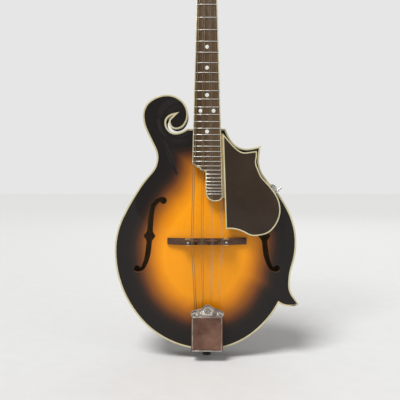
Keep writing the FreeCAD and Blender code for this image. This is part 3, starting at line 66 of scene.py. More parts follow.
Share = tuple[float, float, float]
Run = tuple[Share, ...]
Colour = tuple[float, float, float]
Stops = tuple[tuple[float, Colour], ...]
Socket = bpy.types.NodeSocket
Material = bpy.types.Material
Thing = bpy.types.Object
Mesh = bmesh.types.BMesh
Face = bmesh.types.BMFace
Edge = bmesh.types.BMEdge
Vert = bmesh.types.BMVert


# Frames and shared sizes of the instrument, in millimetres

@dataclass(frozen=True)
class Frames:
    """The body's, neck's and peghead's frames, each as a matrix to metres."""

    tail_reach: float = 13.0
    neck_front: float = -49.9
    saddle_height: float = 155.0
    neck_angle: float = 5.5
    head_drop: float = 3.5
    nut_back: float = 357.4
    head_angle: float = 14.0

    def part(self) -> Matrix:
        """Matrix of the CAD's own frame."""
        return Matrix.Scale(MM, 4)

    def body(self) -> Matrix:
        """Matrix of the body's frame: its tail at height zero."""
        return self.part() @ Matrix.Translation((0, 0, self.tail_reach))

    def neck(self) -> Matrix:
        """Matrix of the neck's frame, its height measured from the saddle."""
        place = Matrix.Translation((0, self.neck_front, self.saddle_height))
        return self.body() @ place @ Matrix.Rotation(-math.radians(self.neck_angle), 4, "X")

    def head(self) -> Matrix:
        """Matrix of the peghead's frame, its height measured from the nut."""
        place = Matrix.Translation((0, self.head_drop, self.nut_back))
        return self.neck() @ place @ Matrix.Rotation(-math.radians(self.head_angle), 4, "X")


@dataclass(frozen=True)
class Taper:
    """Taper that the neck and its fingerboard share, widening away from the nut."""

    scale: float = 352.4
    nut_width: float = 28.6
    end_width: float = 43.0
    length: float = 291.0
    board: float = 6.0

    def share(self, along: float) -> float:
        """Share of the taper's length that lies above a distance from the saddle."""
        return (self.scale - along) / self.length

    def half(self, along: float) -> float:
        """Half width at a distance from the saddle."""
        return self.nut_width / 2 + (self.end_width - self.nut_width) / 2 * self.share(along)


FRAMES = Frames()
TAPER = Taper()


# Finishes

@dataclass(frozen=True)
class Cloud:
    """A noise: its cells per metre, its finer layers, their strength and its twist."""

    scale: float
    detail: float = 2.0
    rough: float = 0.5
    twist: float = 0.0


@dataclass(frozen=True)
class Gloss:
    """Gloss of a surface and of the clear coat over it."""

    rough: float
    coat: float = 0.0
    coat_rough: float = 0.03
    metal: float = 0.0
    shine: float = 0.5


@dataclass(frozen=True)
class Relief:
    """Depth in metres and strength of a surface's fine relief."""

    depth: float
    strength: float


class Bench:
    """A material being built from shader nodes."""

    def __init__(self, name: str) -> None:
        """Start a material with one empty principled shader.

        Args:
            name: Name of the material.
        """
        self.material = bpy.data.materials.new(name)
        self.material.use_nodes = True
        self.tree = self.material.node_tree
        self.shader = self.tree.nodes["Principled BSDF"]

    def node(self, kind: str, **values: object) -> bpy.types.Node:
        """Add a node and set its properties.

        Args:
            kind: Type of the node.
            values: Properties by name.

        Returns:
            The new node.
        """
        node = self.tree.nodes.new(kind)
        for name, value in values.items():
            setattr(node, name, value)
        return node

    def join(self, output: Socket, target: Socket) -> None:
        """Link an output to an input."""
        self.tree.links.new(output, target)

    def place(self, stretch: Share = (1.0, 1.0, 1.0)) -> Socket:
        """Object coordinates stretched by a factor along each axis.

        Args:
            stretch: Factor along each axis.

        Returns:
            The stretched coordinates.
        """
        where = self.node("ShaderNodeTexCoord")
        mapping = self.node("ShaderNodeMapping")
        mapping.inputs["Scale"].default_value = stretch
        self.join(where.outputs["Object"], mapping.inputs["Vector"])
        return mapping.outputs["Vector"]

    def noise(self, vector: Socket, cloud: Cloud) -> Socket:
        """Value of a noise over some coordinates.

        Args:
            vector: The coordinates.
            cloud: Sizes of the noise.

        Returns:
            The value, from 0 to 1.
        """
        noise = self.node("ShaderNodeTexNoise")
        for name, value in (("Scale", cloud.scale), ("Detail", cloud.detail),
                            ("Roughness", cloud.rough), ("Distortion", cloud.twist)):
            noise.inputs[name].default_value = value
        self.join(vector, noise.inputs["Vector"])
        return noise.outputs["Fac"]

    def ramp(self, value: Socket, stops: Stops) -> Socket:
        """Colours over a value.

        Args:
            value: Value from 0 to 1.
            stops: Places and their colours.

        Returns:
            The colour.
        """
        ramp = self.node("ShaderNodeValToRGB")
        points = ramp.color_ramp.elements
        points[0].position, points[1].position = stops[0][0], stops[-1][0]
        points[0].color, points[1].color = (*stops[0][1], 1), (*stops[-1][1], 1)
        for place, colour in stops[1:-1]:
            points.new(place).color = (*colour, 1)
        self.join(value, ramp.inputs["Fac"])
        return ramp.outputs["Color"]

    def tones(self, value: Socket, ends: Pair, dark: Colour, light: Colour) -> Socket:
        """A dark tone up to the first of two values and a light one from the second."""
        return self.ramp(value, ((ends[0], dark), (ends[1], light)))

    def scaled(self, value: Socket, old: Pair, new: Pair) -> Socket:
        """A value moved from one range to another and clamped to it.

        Args:
            value: The value.
            old: Ends of its range.
            new: Ends of the range that it takes.

        Returns:
            The moved value.
        """
        node = self.node("ShaderNodeMapRange")
        for name, number in zip(("From Min", "From Max", "To Min", "To Max"), (*old, *new)):
            node.inputs[name].default_value = number
        self.join(value, node.inputs["Value"])
        return node.outputs["Result"]

    def mix(self, factor: float, first: Socket, second: Socket, blend: str = "MIX") -> Socket:
        """Mix of two colours.

        Args:
            factor: Share of the second colour.
            first: Colour that is mixed into.
            second: Colour that is mixed in.
            blend: Way of mixing.

        Returns:
            The mixed colour.
        """
        node = self.node("ShaderNodeMix", data_type="RGBA", blend_type=blend)
        node.inputs[0].default_value = factor
        self.join(first, node.inputs[6])
        self.join(second, node.inputs[7])
        return node.outputs[2]

    def stain(self, factor: float, base: Socket, tone: Socket) -> Socket:
        """A colour partly darkened by a tone."""
        return self.mix(factor, base, self.mix(1.0, base, tone, "MULTIPLY"))

    def attribute(self, name: str) -> Socket:
        """A value kept on the mesh's vertices."""
        return self.node("ShaderNodeAttribute", attribute_name=name).outputs["Fac"]

    def bump(self, height: Socket, relief: Relief) -> None:
        """Raise the surface by a height.

        Args:
            height: Height from 0 to 1.
            relief: Its depth and strength.
        """
        node = self.node("ShaderNodeBump")
        node.inputs["Distance"].default_value = relief.depth
        node.inputs["Strength"].default_value = relief.strength
        self.join(height, node.inputs["Height"])
        self.join(node.outputs["Normal"], self.shader.inputs["Normal"])

    def colour(self, value: Socket) -> None:
        """Link the base colour."""
        self.join(value, self.shader.inputs["Base Color"])

    def gloss(self, gloss: Gloss) -> None:
        """Set the constant sockets of gloss and metal.

        Args:
            gloss: Their values.
        """
        for name, value in (("Roughness", gloss.rough), ("Specular IOR Level", gloss.shine),
                            ("Coat Weight", gloss.coat), ("Coat Roughness", gloss.coat_rough),
                            ("Metallic", gloss.metal)):
            self.shader.inputs[name].default_value = value


class Grain(Enum):
    """Direction of a wood's grain, as stretches of the coordinates."""

    UP = (900.0, 900.0, 14.0)
    ACROSS = (14.0, 900.0, 900.0)


@dataclass(frozen=True)
class Burst:
    """Sunburst lacquer: amber inside, nearly black at the rim, over straight or flamed wood."""

    name: str
    stops: Stops
    reach: float = 0.070
    flame: float = 0.0
    grain: float = 0.18
    drift: float = 0.010
    cloud: Cloud = Cloud(14.0)
    pores: Cloud = Cloud(1.0, 4.0, 0.6)
    pore_stops: Stops = ((0.3, (0.72, 0.66, 0.60)), (0.62, (1.0, 1.0, 1.0)))
    wave: Cloud = Cloud(1.0)
    wave_stretch: Share = (22.0, 22.0, 190.0)
    wave_stops: Stops = ((0.36, (0.45, 0.38, 0.32)), (0.60, (1.25, 1.2, 1.15)))
    gloss: Gloss = Gloss(0.42, coat=0.4, coat_rough=0.045, shine=0.06)
    relief: Relief = Relief(0.00002, 0.12)

    def make(self) -> Material:
        """Build the material; the rim's distance in metres is on the mesh.

        Returns:
            The material.
        """
        bench = Bench(self.name)
        shift = bench.node("ShaderNodeMath", operation="MULTIPLY_ADD")
        bench.join(bench.noise(bench.place(), self.cloud), shift.inputs[0])
        shift.inputs[1].default_value = self.drift
        bench.join(bench.attribute("rim"), shift.inputs[2])
        near = self.drift / 2
        base = bench.ramp(bench.scaled(shift.outputs[0], (near, near + self.reach), (0.0, 1.0)),
                          self.stops)
        lines = bench.noise(bench.place(Grain.UP.value), self.pores)
        base = bench.stain(self.grain, base, bench.ramp(lines, self.pore_stops))
        if self.flame:
            wave = bench.noise(bench.place(self.wave_stretch), self.wave)
            base = bench.stain(self.flame, base, bench.ramp(wave, self.wave_stops))
        bench.colour(base)
        bench.gloss(self.gloss)
        bench.bump(lines, self.relief)
        return bench.material


@dataclass(frozen=True)
class Wood:
    """Open wood with dark pores along its grain."""

    name: str
    light: Colour
    dark: Colour
    grain: Grain = Grain.UP
    rough: float = 0.5
    coat_rough: float = 0.1
    shine: float = 0.15
    pores: Cloud = Cloud(1.0, 5.0, 0.65)
    pore_ends: Pair = (0.32, 0.60)
    bands: Cloud = Cloud(1.0, 3.0)
    band_ends: Pair = (0.35, 0.65)
    band_width: float = 12.0
    band_share: float = 0.45
    relief: Relief = Relief(0.00005, 0.35)

    def make(self) -> Material:
        """Build the material.

        Returns:
            The material.
        """
        bench = Bench(self.name)
        streaks = bench.noise(bench.place(self.grain.value), self.pores)
        stretch = tuple(value / self.band_width for value in self.grain.value)
        bands = bench.noise(bench.place(stretch), self.bands)
        fine = bench.tones(streaks, self.pore_ends, self.dark, self.light)
        wide = bench.tones(bands, self.band_ends, self.dark, self.light)
        bench.colour(bench.mix(self.band_share, fine, wide))
        bench.gloss(Gloss(self.rough, coat_rough=self.coat_rough, shine=self.shine))
        bench.bump(streaks, self.relief)
        return bench.material


@dataclass(frozen=True)
class Plastic:
    """Cream, black or mottled celluloid, a little uneven in colour."""

    name: str
    light: Colour
    dark: Colour
    scale: float = 60.0
    rough: float = 0.28
    coat: float = 0.3
    shine: float = 0.2
    ends: Pair = (0.34, 0.64)
    pits: Cloud = Cloud(900.0)
    relief: Relief = Relief(0.00001, 0.15)

    def make(self) -> Material:
        """Build the material.

        Returns:
            The material.
        """
        bench = Bench(self.name)
        where = bench.place()
        cloud = bench.noise(where, Cloud(self.scale, detail=4.0, rough=0.6))
        bench.colour(bench.tones(cloud, self.ends, self.dark, self.light))
        bench.gloss(Gloss(self.rough, coat=self.coat, shine=self.shine))
        bench.bump(bench.noise(where, self.pits), self.relief)
        return bench.material


@dataclass(frozen=True)
class Pearl:
    """Pearly shell with soft swirls."""

    name: str
    light: Colour
    dark: Colour
    scale: float = 240.0
    twist: float = 2.4
    ends: Pair = (0.35, 0.6)
    gloss: Gloss = Gloss(0.22, coat=0.6)
    relief: Relief = Relief(0.00002, 0.1)

    def make(self) -> Material:
        """Build the material.

        Returns:
            The material.
        """
        bench = Bench(self.name)
        swirl = bench.noise(bench.place(), Cloud(self.scale, twist=self.twist))
        bench.colour(bench.tones(swirl, self.ends, self.dark, self.light))
        bench.gloss(self.gloss)
        bench.bump(swirl, self.relief)
        return bench.material


@dataclass(frozen=True)
class Metal:
    """Plated or tarnished metal with smudges that dull it."""

    name: str
    bright: Colour
    dull: Colour
    rough: float = 0.22
    smudge: float = 30.0
    ends: Pair = (0.35, 0.65)
    wear_ends: Pair = (0.3, 0.7)
    wear_shares: Pair = (1.5, 0.8)
    scratches: Cloud = Cloud(1500.0)
    relief: Relief = Relief(0.00001, 0.1)

    def make(self) -> Material:
        """Build the material.

        Returns:
            The material.
        """
        bench = Bench(self.name)
        where = bench.place()
        cloud = bench.noise(where, Cloud(self.smudge, detail=4.0, rough=0.6))
        bench.colour(bench.tones(cloud, self.ends, self.dull, self.bright))
        bench.gloss(Gloss(self.rough, metal=1.0))
        worn = tuple(self.rough * share for share in self.wear_shares)
        bench.join(bench.scaled(cloud, self.wear_ends, worn), bench.shader.inputs["Roughness"])
        bench.bump(bench.noise(where, self.scratches), self.relief)
        return bench.material


@dataclass(frozen=True)
class Winding:
    """Fine bronze winding of a thick string, ribbed along its length, with painted shade in the grooves
    between the ribs.
    """

    name: str = "bronze_winding"
    bright: Colour = (0.46, 0.35, 0.21)
    # Painted shade: this dark tone fills the grooves between the ribs.
    dark: Colour = (0.14, 0.09, 0.05)
    ribs: float = 520.0
    ends: Pair = (0.1, 0.6)
    gloss: Gloss = Gloss(0.35, metal=1.0)
    relief: Relief = Relief(0.00004, 0.5)

    def make(self) -> Material:
        """Build the material.

        Returns:
            The material.
        """
        bench = Bench(self.name)
        wave = bench.node("ShaderNodeTexWave", wave_type="BANDS", bands_direction="Z")
        wave.inputs["Scale"].default_value = self.ribs
        bench.join(bench.place(), wave.inputs["Vector"])
        # The ribs' low places take the dark tone: painted shade in the grooves.
        bench.colour(bench.tones(wave.outputs["Fac"], self.ends, self.dark, self.bright))
        bench.gloss(self.gloss)
        bench.bump(wave.outputs["Fac"], self.relief)
        return bench.material


TOP_STOPS = (
    (0.00, (0.010, 0.008, 0.007)), (0.29, (0.012, 0.009, 0.008)), (0.40, (0.030, 0.014, 0.008)),
    (0.50, (0.110, 0.034, 0.010)), (0.66, (0.340, 0.105, 0.008)), (0.83, (0.700, 0.225, 0.004)),
    (1.00, (0.920, 0.330, 0.004)),
)
BACK_STOPS = (
    (0.00, (0.010, 0.007, 0.006)), (0.40, (0.020, 0.010, 0.007)), (0.62, (0.14, 0.035, 0.010)),
    (0.82, (0.42, 0.13, 0.016)), (1.00, (0.62, 0.23, 0.020)),
)
SIDE_STOPS = (
    (0.00, (0.012, 0.007, 0.005)), (0.5, (0.045, 0.016, 0.008)), (1.00, (0.10, 0.032, 0.012)),
)


class Finish(Enum):
    """Every finish of the instrument."""

    TOP = Burst("sunburst_spruce", TOP_STOPS)
    BACK = Burst("sunburst_maple", BACK_STOPS, flame=0.55, grain=0.10)
    SIDES = Burst("side_maple", SIDE_STOPS, reach=0.018, flame=0.5, grain=0.10)
    NECK = Burst("neck_maple", SIDE_STOPS, reach=0.018, flame=0.45, grain=0.10)
    BINDING = Plastic("cream_binding", (0.62, 0.56, 0.35), (0.50, 0.44, 0.26), 45.0)
    BOARD = Wood("board_rosewood", (0.120, 0.072, 0.036), (0.046, 0.027, 0.014))
    BRIDGE = Wood("bridge_rosewood", (0.120, 0.066, 0.044), (0.036, 0.020, 0.014), Grain.ACROSS)
    HOLE = Wood("hole_edge", (0.30, 0.16, 0.06), (0.16, 0.08, 0.03))
    SPACER = Wood("spacer_wood", (0.46, 0.33, 0.15), (0.30, 0.20, 0.09))
    INNER = Wood("raw_wood", (0.50, 0.35, 0.19), (0.33, 0.21, 0.11), rough=0.75)
    GUARD = Plastic("dark_celluloid", (0.036, 0.022, 0.013), (0.026, 0.016, 0.010), 22.0, 0.3, 0.12)
    BLACK = Plastic("black_lacquer", (0.010, 0.010, 0.010), (0.007, 0.007, 0.007), 50.0, 0.2, 0.9)
    PEARL = Pearl("pearl_dots", (0.86, 0.86, 0.80), (0.62, 0.64, 0.60))
    BUTTON = Pearl("pearly_buttons", (0.82, 0.79, 0.70), (0.62, 0.58, 0.50), 150.0)
    BONE = Plastic("bone", (0.80, 0.74, 0.58), (0.68, 0.62, 0.46), 90.0, 0.4, 0.1)
    NICKEL = Metal("nickel_plate", (0.76, 0.74, 0.70), (0.52, 0.50, 0.46))
    FRET = Metal("fret_wire", (0.88, 0.86, 0.80), (0.74, 0.72, 0.66), 0.3)
    # Brown tint of the tailpiece cover: tarnish plus a painted reflection of the brown body.
    TARNISH_AND_REFLECTION = Metal("tarnish_and_reflection_nickel", (0.30, 0.165, 0.120), (0.15, 0.080, 0.062), 0.36, 26.0)
    LIP = Metal("worn_nickel", (0.54, 0.49, 0.44), (0.24, 0.20, 0.17), 0.30, 90.0)
    STEEL = Metal("string_steel", (0.46, 0.44, 0.40), (0.34, 0.32, 0.29), 0.25)
    BRASS = Metal("wheel_brass", (0.70, 0.55, 0.30), (0.45, 0.33, 0.16), 0.25)
    WINDING = Winding()

    def material(self) -> Material:
        """The finish's material, built once."""
        return bpy.data.materials.get(self.value.name) or self.value.make()


# Drawing of outlines and making of pieces

def unit(angle: float) -> Vector:
    """Direction of travel: 0 along X and a quarter turn along Z."""
    return Vector((math.cos(angle), 0, math.sin(angle)))


class Pen:
    """Draws an outline by spinning its last corner along tangent arcs."""

    def __init__(self, mesh: Mesh, scale: Pair, step: float, mirror: float) -> None:
        """Start an outline.

        Args:
            mesh: Mesh that takes the corners.
            scale: Width and height that the shares are of.
            step: Largest turn of one chord, in degrees.
            mirror: Minus one for the mirrored outline.
        """
        self.mesh, self.scale, self.step, self.mirror = mesh, scale, math.radians(step), mirror
        self.first: Vert | None = None
        self.last: Vert | None = None
        self.way = 0.0

    def at(self, share: Share) -> Vector:
        """Place of a share of the sizes."""
        return Vector((share[0] * self.scale[0] * self.mirror, 0, share[1] * self.scale[1]))

    def line_to(self, point: Vector, same: float = 1e-3) -> None:
        """Draw a straight run to a point.

        Args:
            point: Its end.
            same: Distance within which the last corner is that end.
        """
        if self.last is None:
            self.first = self.last = bmesh.ops.create_vert(self.mesh, co=point)["vert"][0]
            return
        if (point - self.last.co).length < same:
            return
        made = bmesh.ops.extrude_vert_indiv(self.mesh, verts=[self.last])
        bmesh.ops.translate(self.mesh, verts=made["verts"], vec=point - self.last.co)
        self.last = made["verts"][0]

    def arc_to(self, point: Vector, straight: float = 1e-4) -> None:
        """Draw the arc that leaves along the last heading.

        Args:
            point: Its end.
            straight: Turn under which it is a line.
        """
        chord = point - self.last.co
        turn = 2 * math.remainder(math.atan2(chord.z, chord.x) - self.way, 2 * math.pi)
        if abs(turn) < straight:
            self.line_to(point)
            return
        centre = self.last.co + unit(self.way + math.pi / 2) * (chord.length / 2 / math.sin(turn / 2))
        steps = max(1, math.ceil(abs(turn) / self.step))
        made = bmesh.ops.spin(self.mesh, geom=[self.last], cent=centre, axis=(0, 1, 0),
                              angle=-turn, steps=steps)
        self.last = of_kind(made["geom_last"], Vert)[0]
        self.way += turn

    def curve_to(self, point: Vector, way: float, even: float = 1e-9) -> None:
        """Draw two tangent arcs to a point and its heading.

        Args:
            point: Their end.
            way: Heading there.
            even: Bend under which both headings are the same.
        """
        start, chord = self.last.co.copy(), point - self.last.co
        leave, arrive = unit(self.way), unit(way)
        bend, along = 2 * (1 - leave.dot(arrive)), 2 * chord.dot(leave + arrive)
        if bend < even:
            reach = chord.dot(chord) / along
        else:
            reach = (math.sqrt(along ** 2 + 4 * bend * chord.dot(chord)) - along) / (2 * bend)
        self.arc_to((start + leave * reach + point - arrive * reach) / 2)
        self.arc_to(point)
        self.way = way

    def run(self, shares: Run) -> None:
        """Draw a smooth run.

        Args:
            shares: Its places, each with a heading in degrees.
        """
        for number, share in enumerate(shares):
            way = math.radians(share[2] if self.mirror > 0 else 180 - share[2])
            if number:
                self.curve_to(self.at(share), way)
            else:
                self.line_to(self.at(share))
                self.way = way

    def close(self, same: float = 1e-2) -> list[Edge]:
        """Join the last corner to the first.

        Args:
            same: Distance within which they are one corner.

        Returns:
            The outline's edges.
        """
        corners = self.walk()
        if (self.last.co - self.first.co).length < same:
            before = self.last.link_edges[0].other_vert(self.last)
            bmesh.ops.delete(self.mesh, geom=[self.last], context="VERTS")
            corners = [vert for vert in corners if vert.is_valid]
            self.last = before
        bmesh.ops.contextual_create(self.mesh, geom=[self.last, self.first])
        ring = set(corners)
        return [edge for edge in self.mesh.edges if edge.verts[0] in ring and edge.verts[1] in ring]

    def walk(self) -> list[Vert]:
        """Find the outline's own corners.

        Returns:
            The corners linked to the first one.
        """
        seen, queue = {self.first}, [self.first]
        while queue:
            for edge in queue.pop().link_edges:
                for vert in edge.verts:
                    if vert not in seen:
                        seen.add(vert)
                        queue.append(vert)
        return list(seen)


def outline(mesh: Mesh, runs: tuple[Run, ...], scale: Pair, step: float = 5.0,
            mirror: float = 1.0) -> list[Edge]:
    """Draw a closed outline of runs joined by straight lines.

    Args:
        mesh: Mesh that takes the outline.
        runs: Smooth runs in order.
        scale: Width and height that the shares are of.
        step: Largest turn of one chord, in degrees.
        mirror: Minus one for the mirrored outline.

    Returns:
        The outline's edges.
    """
    pen = Pen(mesh, scale, step, mirror)
    for run in runs:
        pen.run(run)
    return pen.close()


def of_kind(made: list[Vert | Edge | Face], kind: type) -> list[Vert | Edge | Face]:
    """Pick the items of one kind from an operator's result."""
    return [item for item in made if isinstance(item, kind)]


def every(mesh: Mesh) -> list[Vert | Edge | Face]:
    """List all that a mesh holds."""
    return mesh.verts[:] + mesh.edges[:] + mesh.faces[:]


def face_of(mesh: Mesh, edges: list[Edge]) -> Face:
    """Fill a closed outline with one face."""
    return bmesh.ops.contextual_create(mesh, geom=edges)["faces"][0]


def ring_in(mesh: Mesh, face: Face, width: float) -> list[Face]:
    """Move a face's outline inwards; the face becomes the inner one.

    Args:
        mesh: Mesh of the face.
        face: Face to move in.
        width: Distance in the mesh's own unit.

    Returns:
        The faces of the ring around it.
    """
    made = bmesh.ops.inset_region(mesh, faces=[face], thickness=width, use_even_offset=True,
                                  use_boundary=True)
    return made["faces"]


def thicken(mesh: Mesh, faces: list[Face], depth: float) -> None:
    """Extrude faces along Y.

    Args:
        mesh: Mesh of the faces.
        faces: Faces to extrude.
        depth: Length of the extrusion.
    """
    made = bmesh.ops.extrude_face_region(mesh, geom=faces)
    bmesh.ops.translate(mesh, verts=of_kind(made["geom"], Vert), vec=(0, depth, 0))


def raise_faces(mesh: Mesh, faces: list[Face], low: float, high: float) -> None:
    """Make a solid from flat faces at depth zero.

    Args:
        mesh: Mesh of the faces.
        faces: Faces to raise.
        low: Depth where the solid starts.
        high: Depth where it ends.
    """
    verts = list({vert for face in faces for vert in face.verts})
    bmesh.ops.translate(mesh, verts=verts, vec=(0, low, 0))
    thicken(mesh, faces, high - low)
    bmesh.ops.recalc_face_normals(mesh, faces=mesh.faces)


class Part(Enum):
    """Which part of a bordered plate is made, and how the other part is deleted."""

    MIDDLE = "FACES"
    BORDER = "FACES_ONLY"


def slab(mesh: Mesh, face: Face, border: float, part: Part, low: float, high: float) -> None:
    """Make a plate within its border, or else the border alone.

    Args:
        mesh: Mesh of the drawn face.
        face: The face, its border included.
        border: Width of the border.
        part: The part that is made.
        low: Depth where it starts.
        high: Depth where it ends.
    """
    ring = ring_in(mesh, face, border)
    middle = part is Part.MIDDLE
    bmesh.ops.delete(mesh, geom=ring if middle else [face], context=part.value)
    raise_faces(mesh, [face] if middle else ring, low, high)


def cut(mesh: Mesh, where: Share, way: Share) -> None:
    """Cut off what lies beyond a plane and close the cut.

    Args:
        mesh: Mesh to cut.
        where: Place on the plane.
        way: Direction that leads away from what stays.
    """
    bmesh.ops.bisect_plane(mesh, geom=every(mesh), plane_co=where, plane_no=way, clear_outer=True)
    bmesh.ops.holes_fill(mesh, edges=mesh.edges[:], sides=0)


def soften(mesh: Mesh, width: float, angle: float = 60.0) -> None:
    """Bevel every edge sharper than an angle.

    Args:
        mesh: Mesh to bevel.
        width: Width of the bevel in the mesh's own unit.
        angle: Smallest turn of a bevelled edge, in degrees.
    """
    sharp = [edge for edge in mesh.edges
             if len(edge.link_faces) == 2 and edge.calc_face_angle(0) > math.radians(angle)]
    bmesh.ops.bevel(mesh, geom=sharp, offset=width, offset_type="OFFSET", segments=2,
                    profile=0.5, affect="EDGES", clamp_overlap=True, material=-1)


def block(mesh: Mesh, middle: Share, size: Share) -> None:
    """Add a box."""
    place = Matrix.Translation(middle) @ Matrix.Diagonal((*size, 1.0))
    bmesh.ops.create_cube(mesh, size=1.0, matrix=place)


def ball(mesh: Mesh, place: Matrix, rounds: tuple[int, int]) -> list[Vert]:
    """Add a ball of radius one, moved and sized by a matrix.

    Args:
        mesh: Mesh that takes it.
        place: Its matrix.
        rounds: Faces round it and from pole to pole.

    Returns:
        Its corners.
    """
    made = bmesh.ops.create_uvsphere(mesh, u_segments=rounds[0], v_segments=rounds[1], radius=1.0,
                                     matrix=place)
    return made["verts"]


def rod(mesh: Mesh, start: Vector, end: Vector, radius: float, rounds: int = 24) -> None:
    """Add a round rod.

    Args:
        mesh: Mesh that takes it.
        start: Middle of its first end.
        end: Middle of its other end.
        radius: Its radius.
        rounds: Faces round it.
    """
    way = end - start
    place = Matrix.Translation((start + end) / 2) @ way.to_track_quat("Z", "Y").to_matrix().to_4x4()
    bmesh.ops.create_cone(mesh, cap_ends=True, segments=rounds, radius1=radius, radius2=radius,
                          depth=way.length, matrix=place)


@dataclass
class Piece:
    """One finished object: its name, the CAD nodes it stands for, its finishes, a record slot name that
    nothing here uses, and its body.
    """

    name: str
    nodes: tuple[str, ...]
    finishes: tuple[Finish, ...]
    slot: str
    body: str = "instrument"

    def finish(self, mesh: Mesh, place: Matrix, smooth: float = 35.0, closed: bool = True) -> Thing:
        """Turn a mesh into the object, in place.

        Args:
            mesh: Mesh in millimetres.
            place: Matrix to metres.
            smooth: Edges sharper than this stay sharp, in degrees.
            closed: Whether the normals are to be worked out anew.

        Returns:
            The object.
        """
        bmesh.ops.transform(mesh, matrix=place, verts=mesh.verts)
        if closed:
            bmesh.ops.recalc_face_normals(mesh, faces=mesh.faces)
        thing = linked(self.name, mesh)
        thing.data.polygons.foreach_set("use_smooth", [True] * len(thing.data.polygons))
        thing.data.set_sharp_from_angle(angle=math.radians(smooth))
        for finish in self.finishes:
            thing.data.materials.append(finish.material())
        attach(thing, self.body)
        if self.nodes:
            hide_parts(*self.nodes)
        LOG.info("%s: %d faces", self.name, len(thing.data.polygons))
        return thing


def linked(name: str, mesh: Mesh) -> Thing:
    """Turn a mesh into an object of the scene.

    Args:
        name: Name of the object.
        mesh: The mesh, which is freed.

    Returns:
        The object.
    """
    data = bpy.data.meshes.new(name)
    mesh.to_mesh(data)
    mesh.free()
    thing = bpy.data.objects.new(name, data)
    bpy.context.scene.collection.objects.link(thing)
    return thing


def add_mesh(mesh: Mesh, other: Mesh) -> None:
    """Add the faces of another mesh, which is freed.

    Args:
        mesh: Mesh that takes them.
        other: The other mesh.
    """
    data = bpy.data.meshes.new("added")
    other.to_mesh(data)
    other.free()
    mesh.from_mesh(data)
    bpy.data.meshes.remove(data)


def node_copy(node: str, same: float = 0.005, flat: float = 1.0) -> Mesh:
    """A merged copy of a CAD node's mesh in millimetres.

    Args:
        node: Name of the node.
        same: Distance within which corners are merged.
        flat: Turn in degrees under which faces are joined.

    Returns:
        The mesh.
    """
    mesh = bmesh.new()
    mesh.from_mesh(frame["nodes"][node].data)
    bmesh.ops.scale(mesh, vec=(1 / MM,) * 3, verts=mesh.verts)
    bmesh.ops.remove_doubles(mesh, verts=mesh.verts, dist=same)
    bmesh.ops.dissolve_limit(mesh, angle_limit=math.radians(flat), verts=mesh.verts,
                             edges=mesh.edges, use_dissolve_boundaries=False)
    return mesh


def refined(node: str, finish: Finish, slot: str, edge: float, angle: float = 30.0,
            smooth: float = 32.0) -> None:
    """Make a piece of a node's own shape with its edges eased.

    Args:
        node: Name of the node.
        finish: Finish of the piece.
        slot: Material slot of the record.
        edge: Width of the eased edges, or zero.
        angle: Smallest turn of an eased edge, in degrees.
        smooth: Turn up to which any edge is smooth, in degrees.
    """
    mesh = node_copy(node)
    if edge:
        soften(mesh, edge, angle)
    body = frame["nodes"][node]["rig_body"]
    piece = Piece(node + "_dressed", (node,), (finish,), slot, body)
    piece.finish(mesh, FRAMES.part(), smooth=max(angle, smooth), closed=False)


def keep_rim(thing: Thing, gap: np.ndarray | float) -> None:
    """Keep each vertex's distance from the rim on the mesh, for the burst.

    Args:
        thing: Object to mark.
        gap: The distances in metres, or one for all.
    """
    layer = thing.data.attributes.new("rim", "FLOAT", "POINT")
    layer.data.foreach_set("value", np.zeros(len(thing.data.vertices)) + gap)


def gap_to(thing: Thing, edge: np.ndarray, least: float = 1e-12) -> np.ndarray:
    """Distance of each vertex from an outline, seen from the front.

    Args:
        thing: Object with the vertices.
        edge: Points of the closed outline in metres, across and up.
        least: Square of the shortest run between two points.

    Returns:
        The distances in metres.
    """
    count = len(thing.data.vertices)
    flat = np.empty(count * 3)
    thing.data.vertices.foreach_get("co", flat)
    points = flat.reshape(-1, 3)[:, (0, 2)]
    near = np.full(count, np.inf)
    for first, way in zip(edge, np.roll(edge, -1, axis=0) - edge):
        size = max(way @ way, least)
        along = np.clip(((points - first) @ way) / size, 0, 1)
        gap = points - first - along[:, None] * way
        near = np.minimum(near, np.hypot(gap[:, 0], gap[:, 1]))
    return near


def ease(turn: float) -> float:
    """Share that falls from one to zero over half a turn."""
    return 0.5 + 0.5 * math.cos(turn)


# Body

class Side(Enum):
    """A plate's side of the body, as its way out along Y."""

    TOP = -1.0
    BACK = 1.0


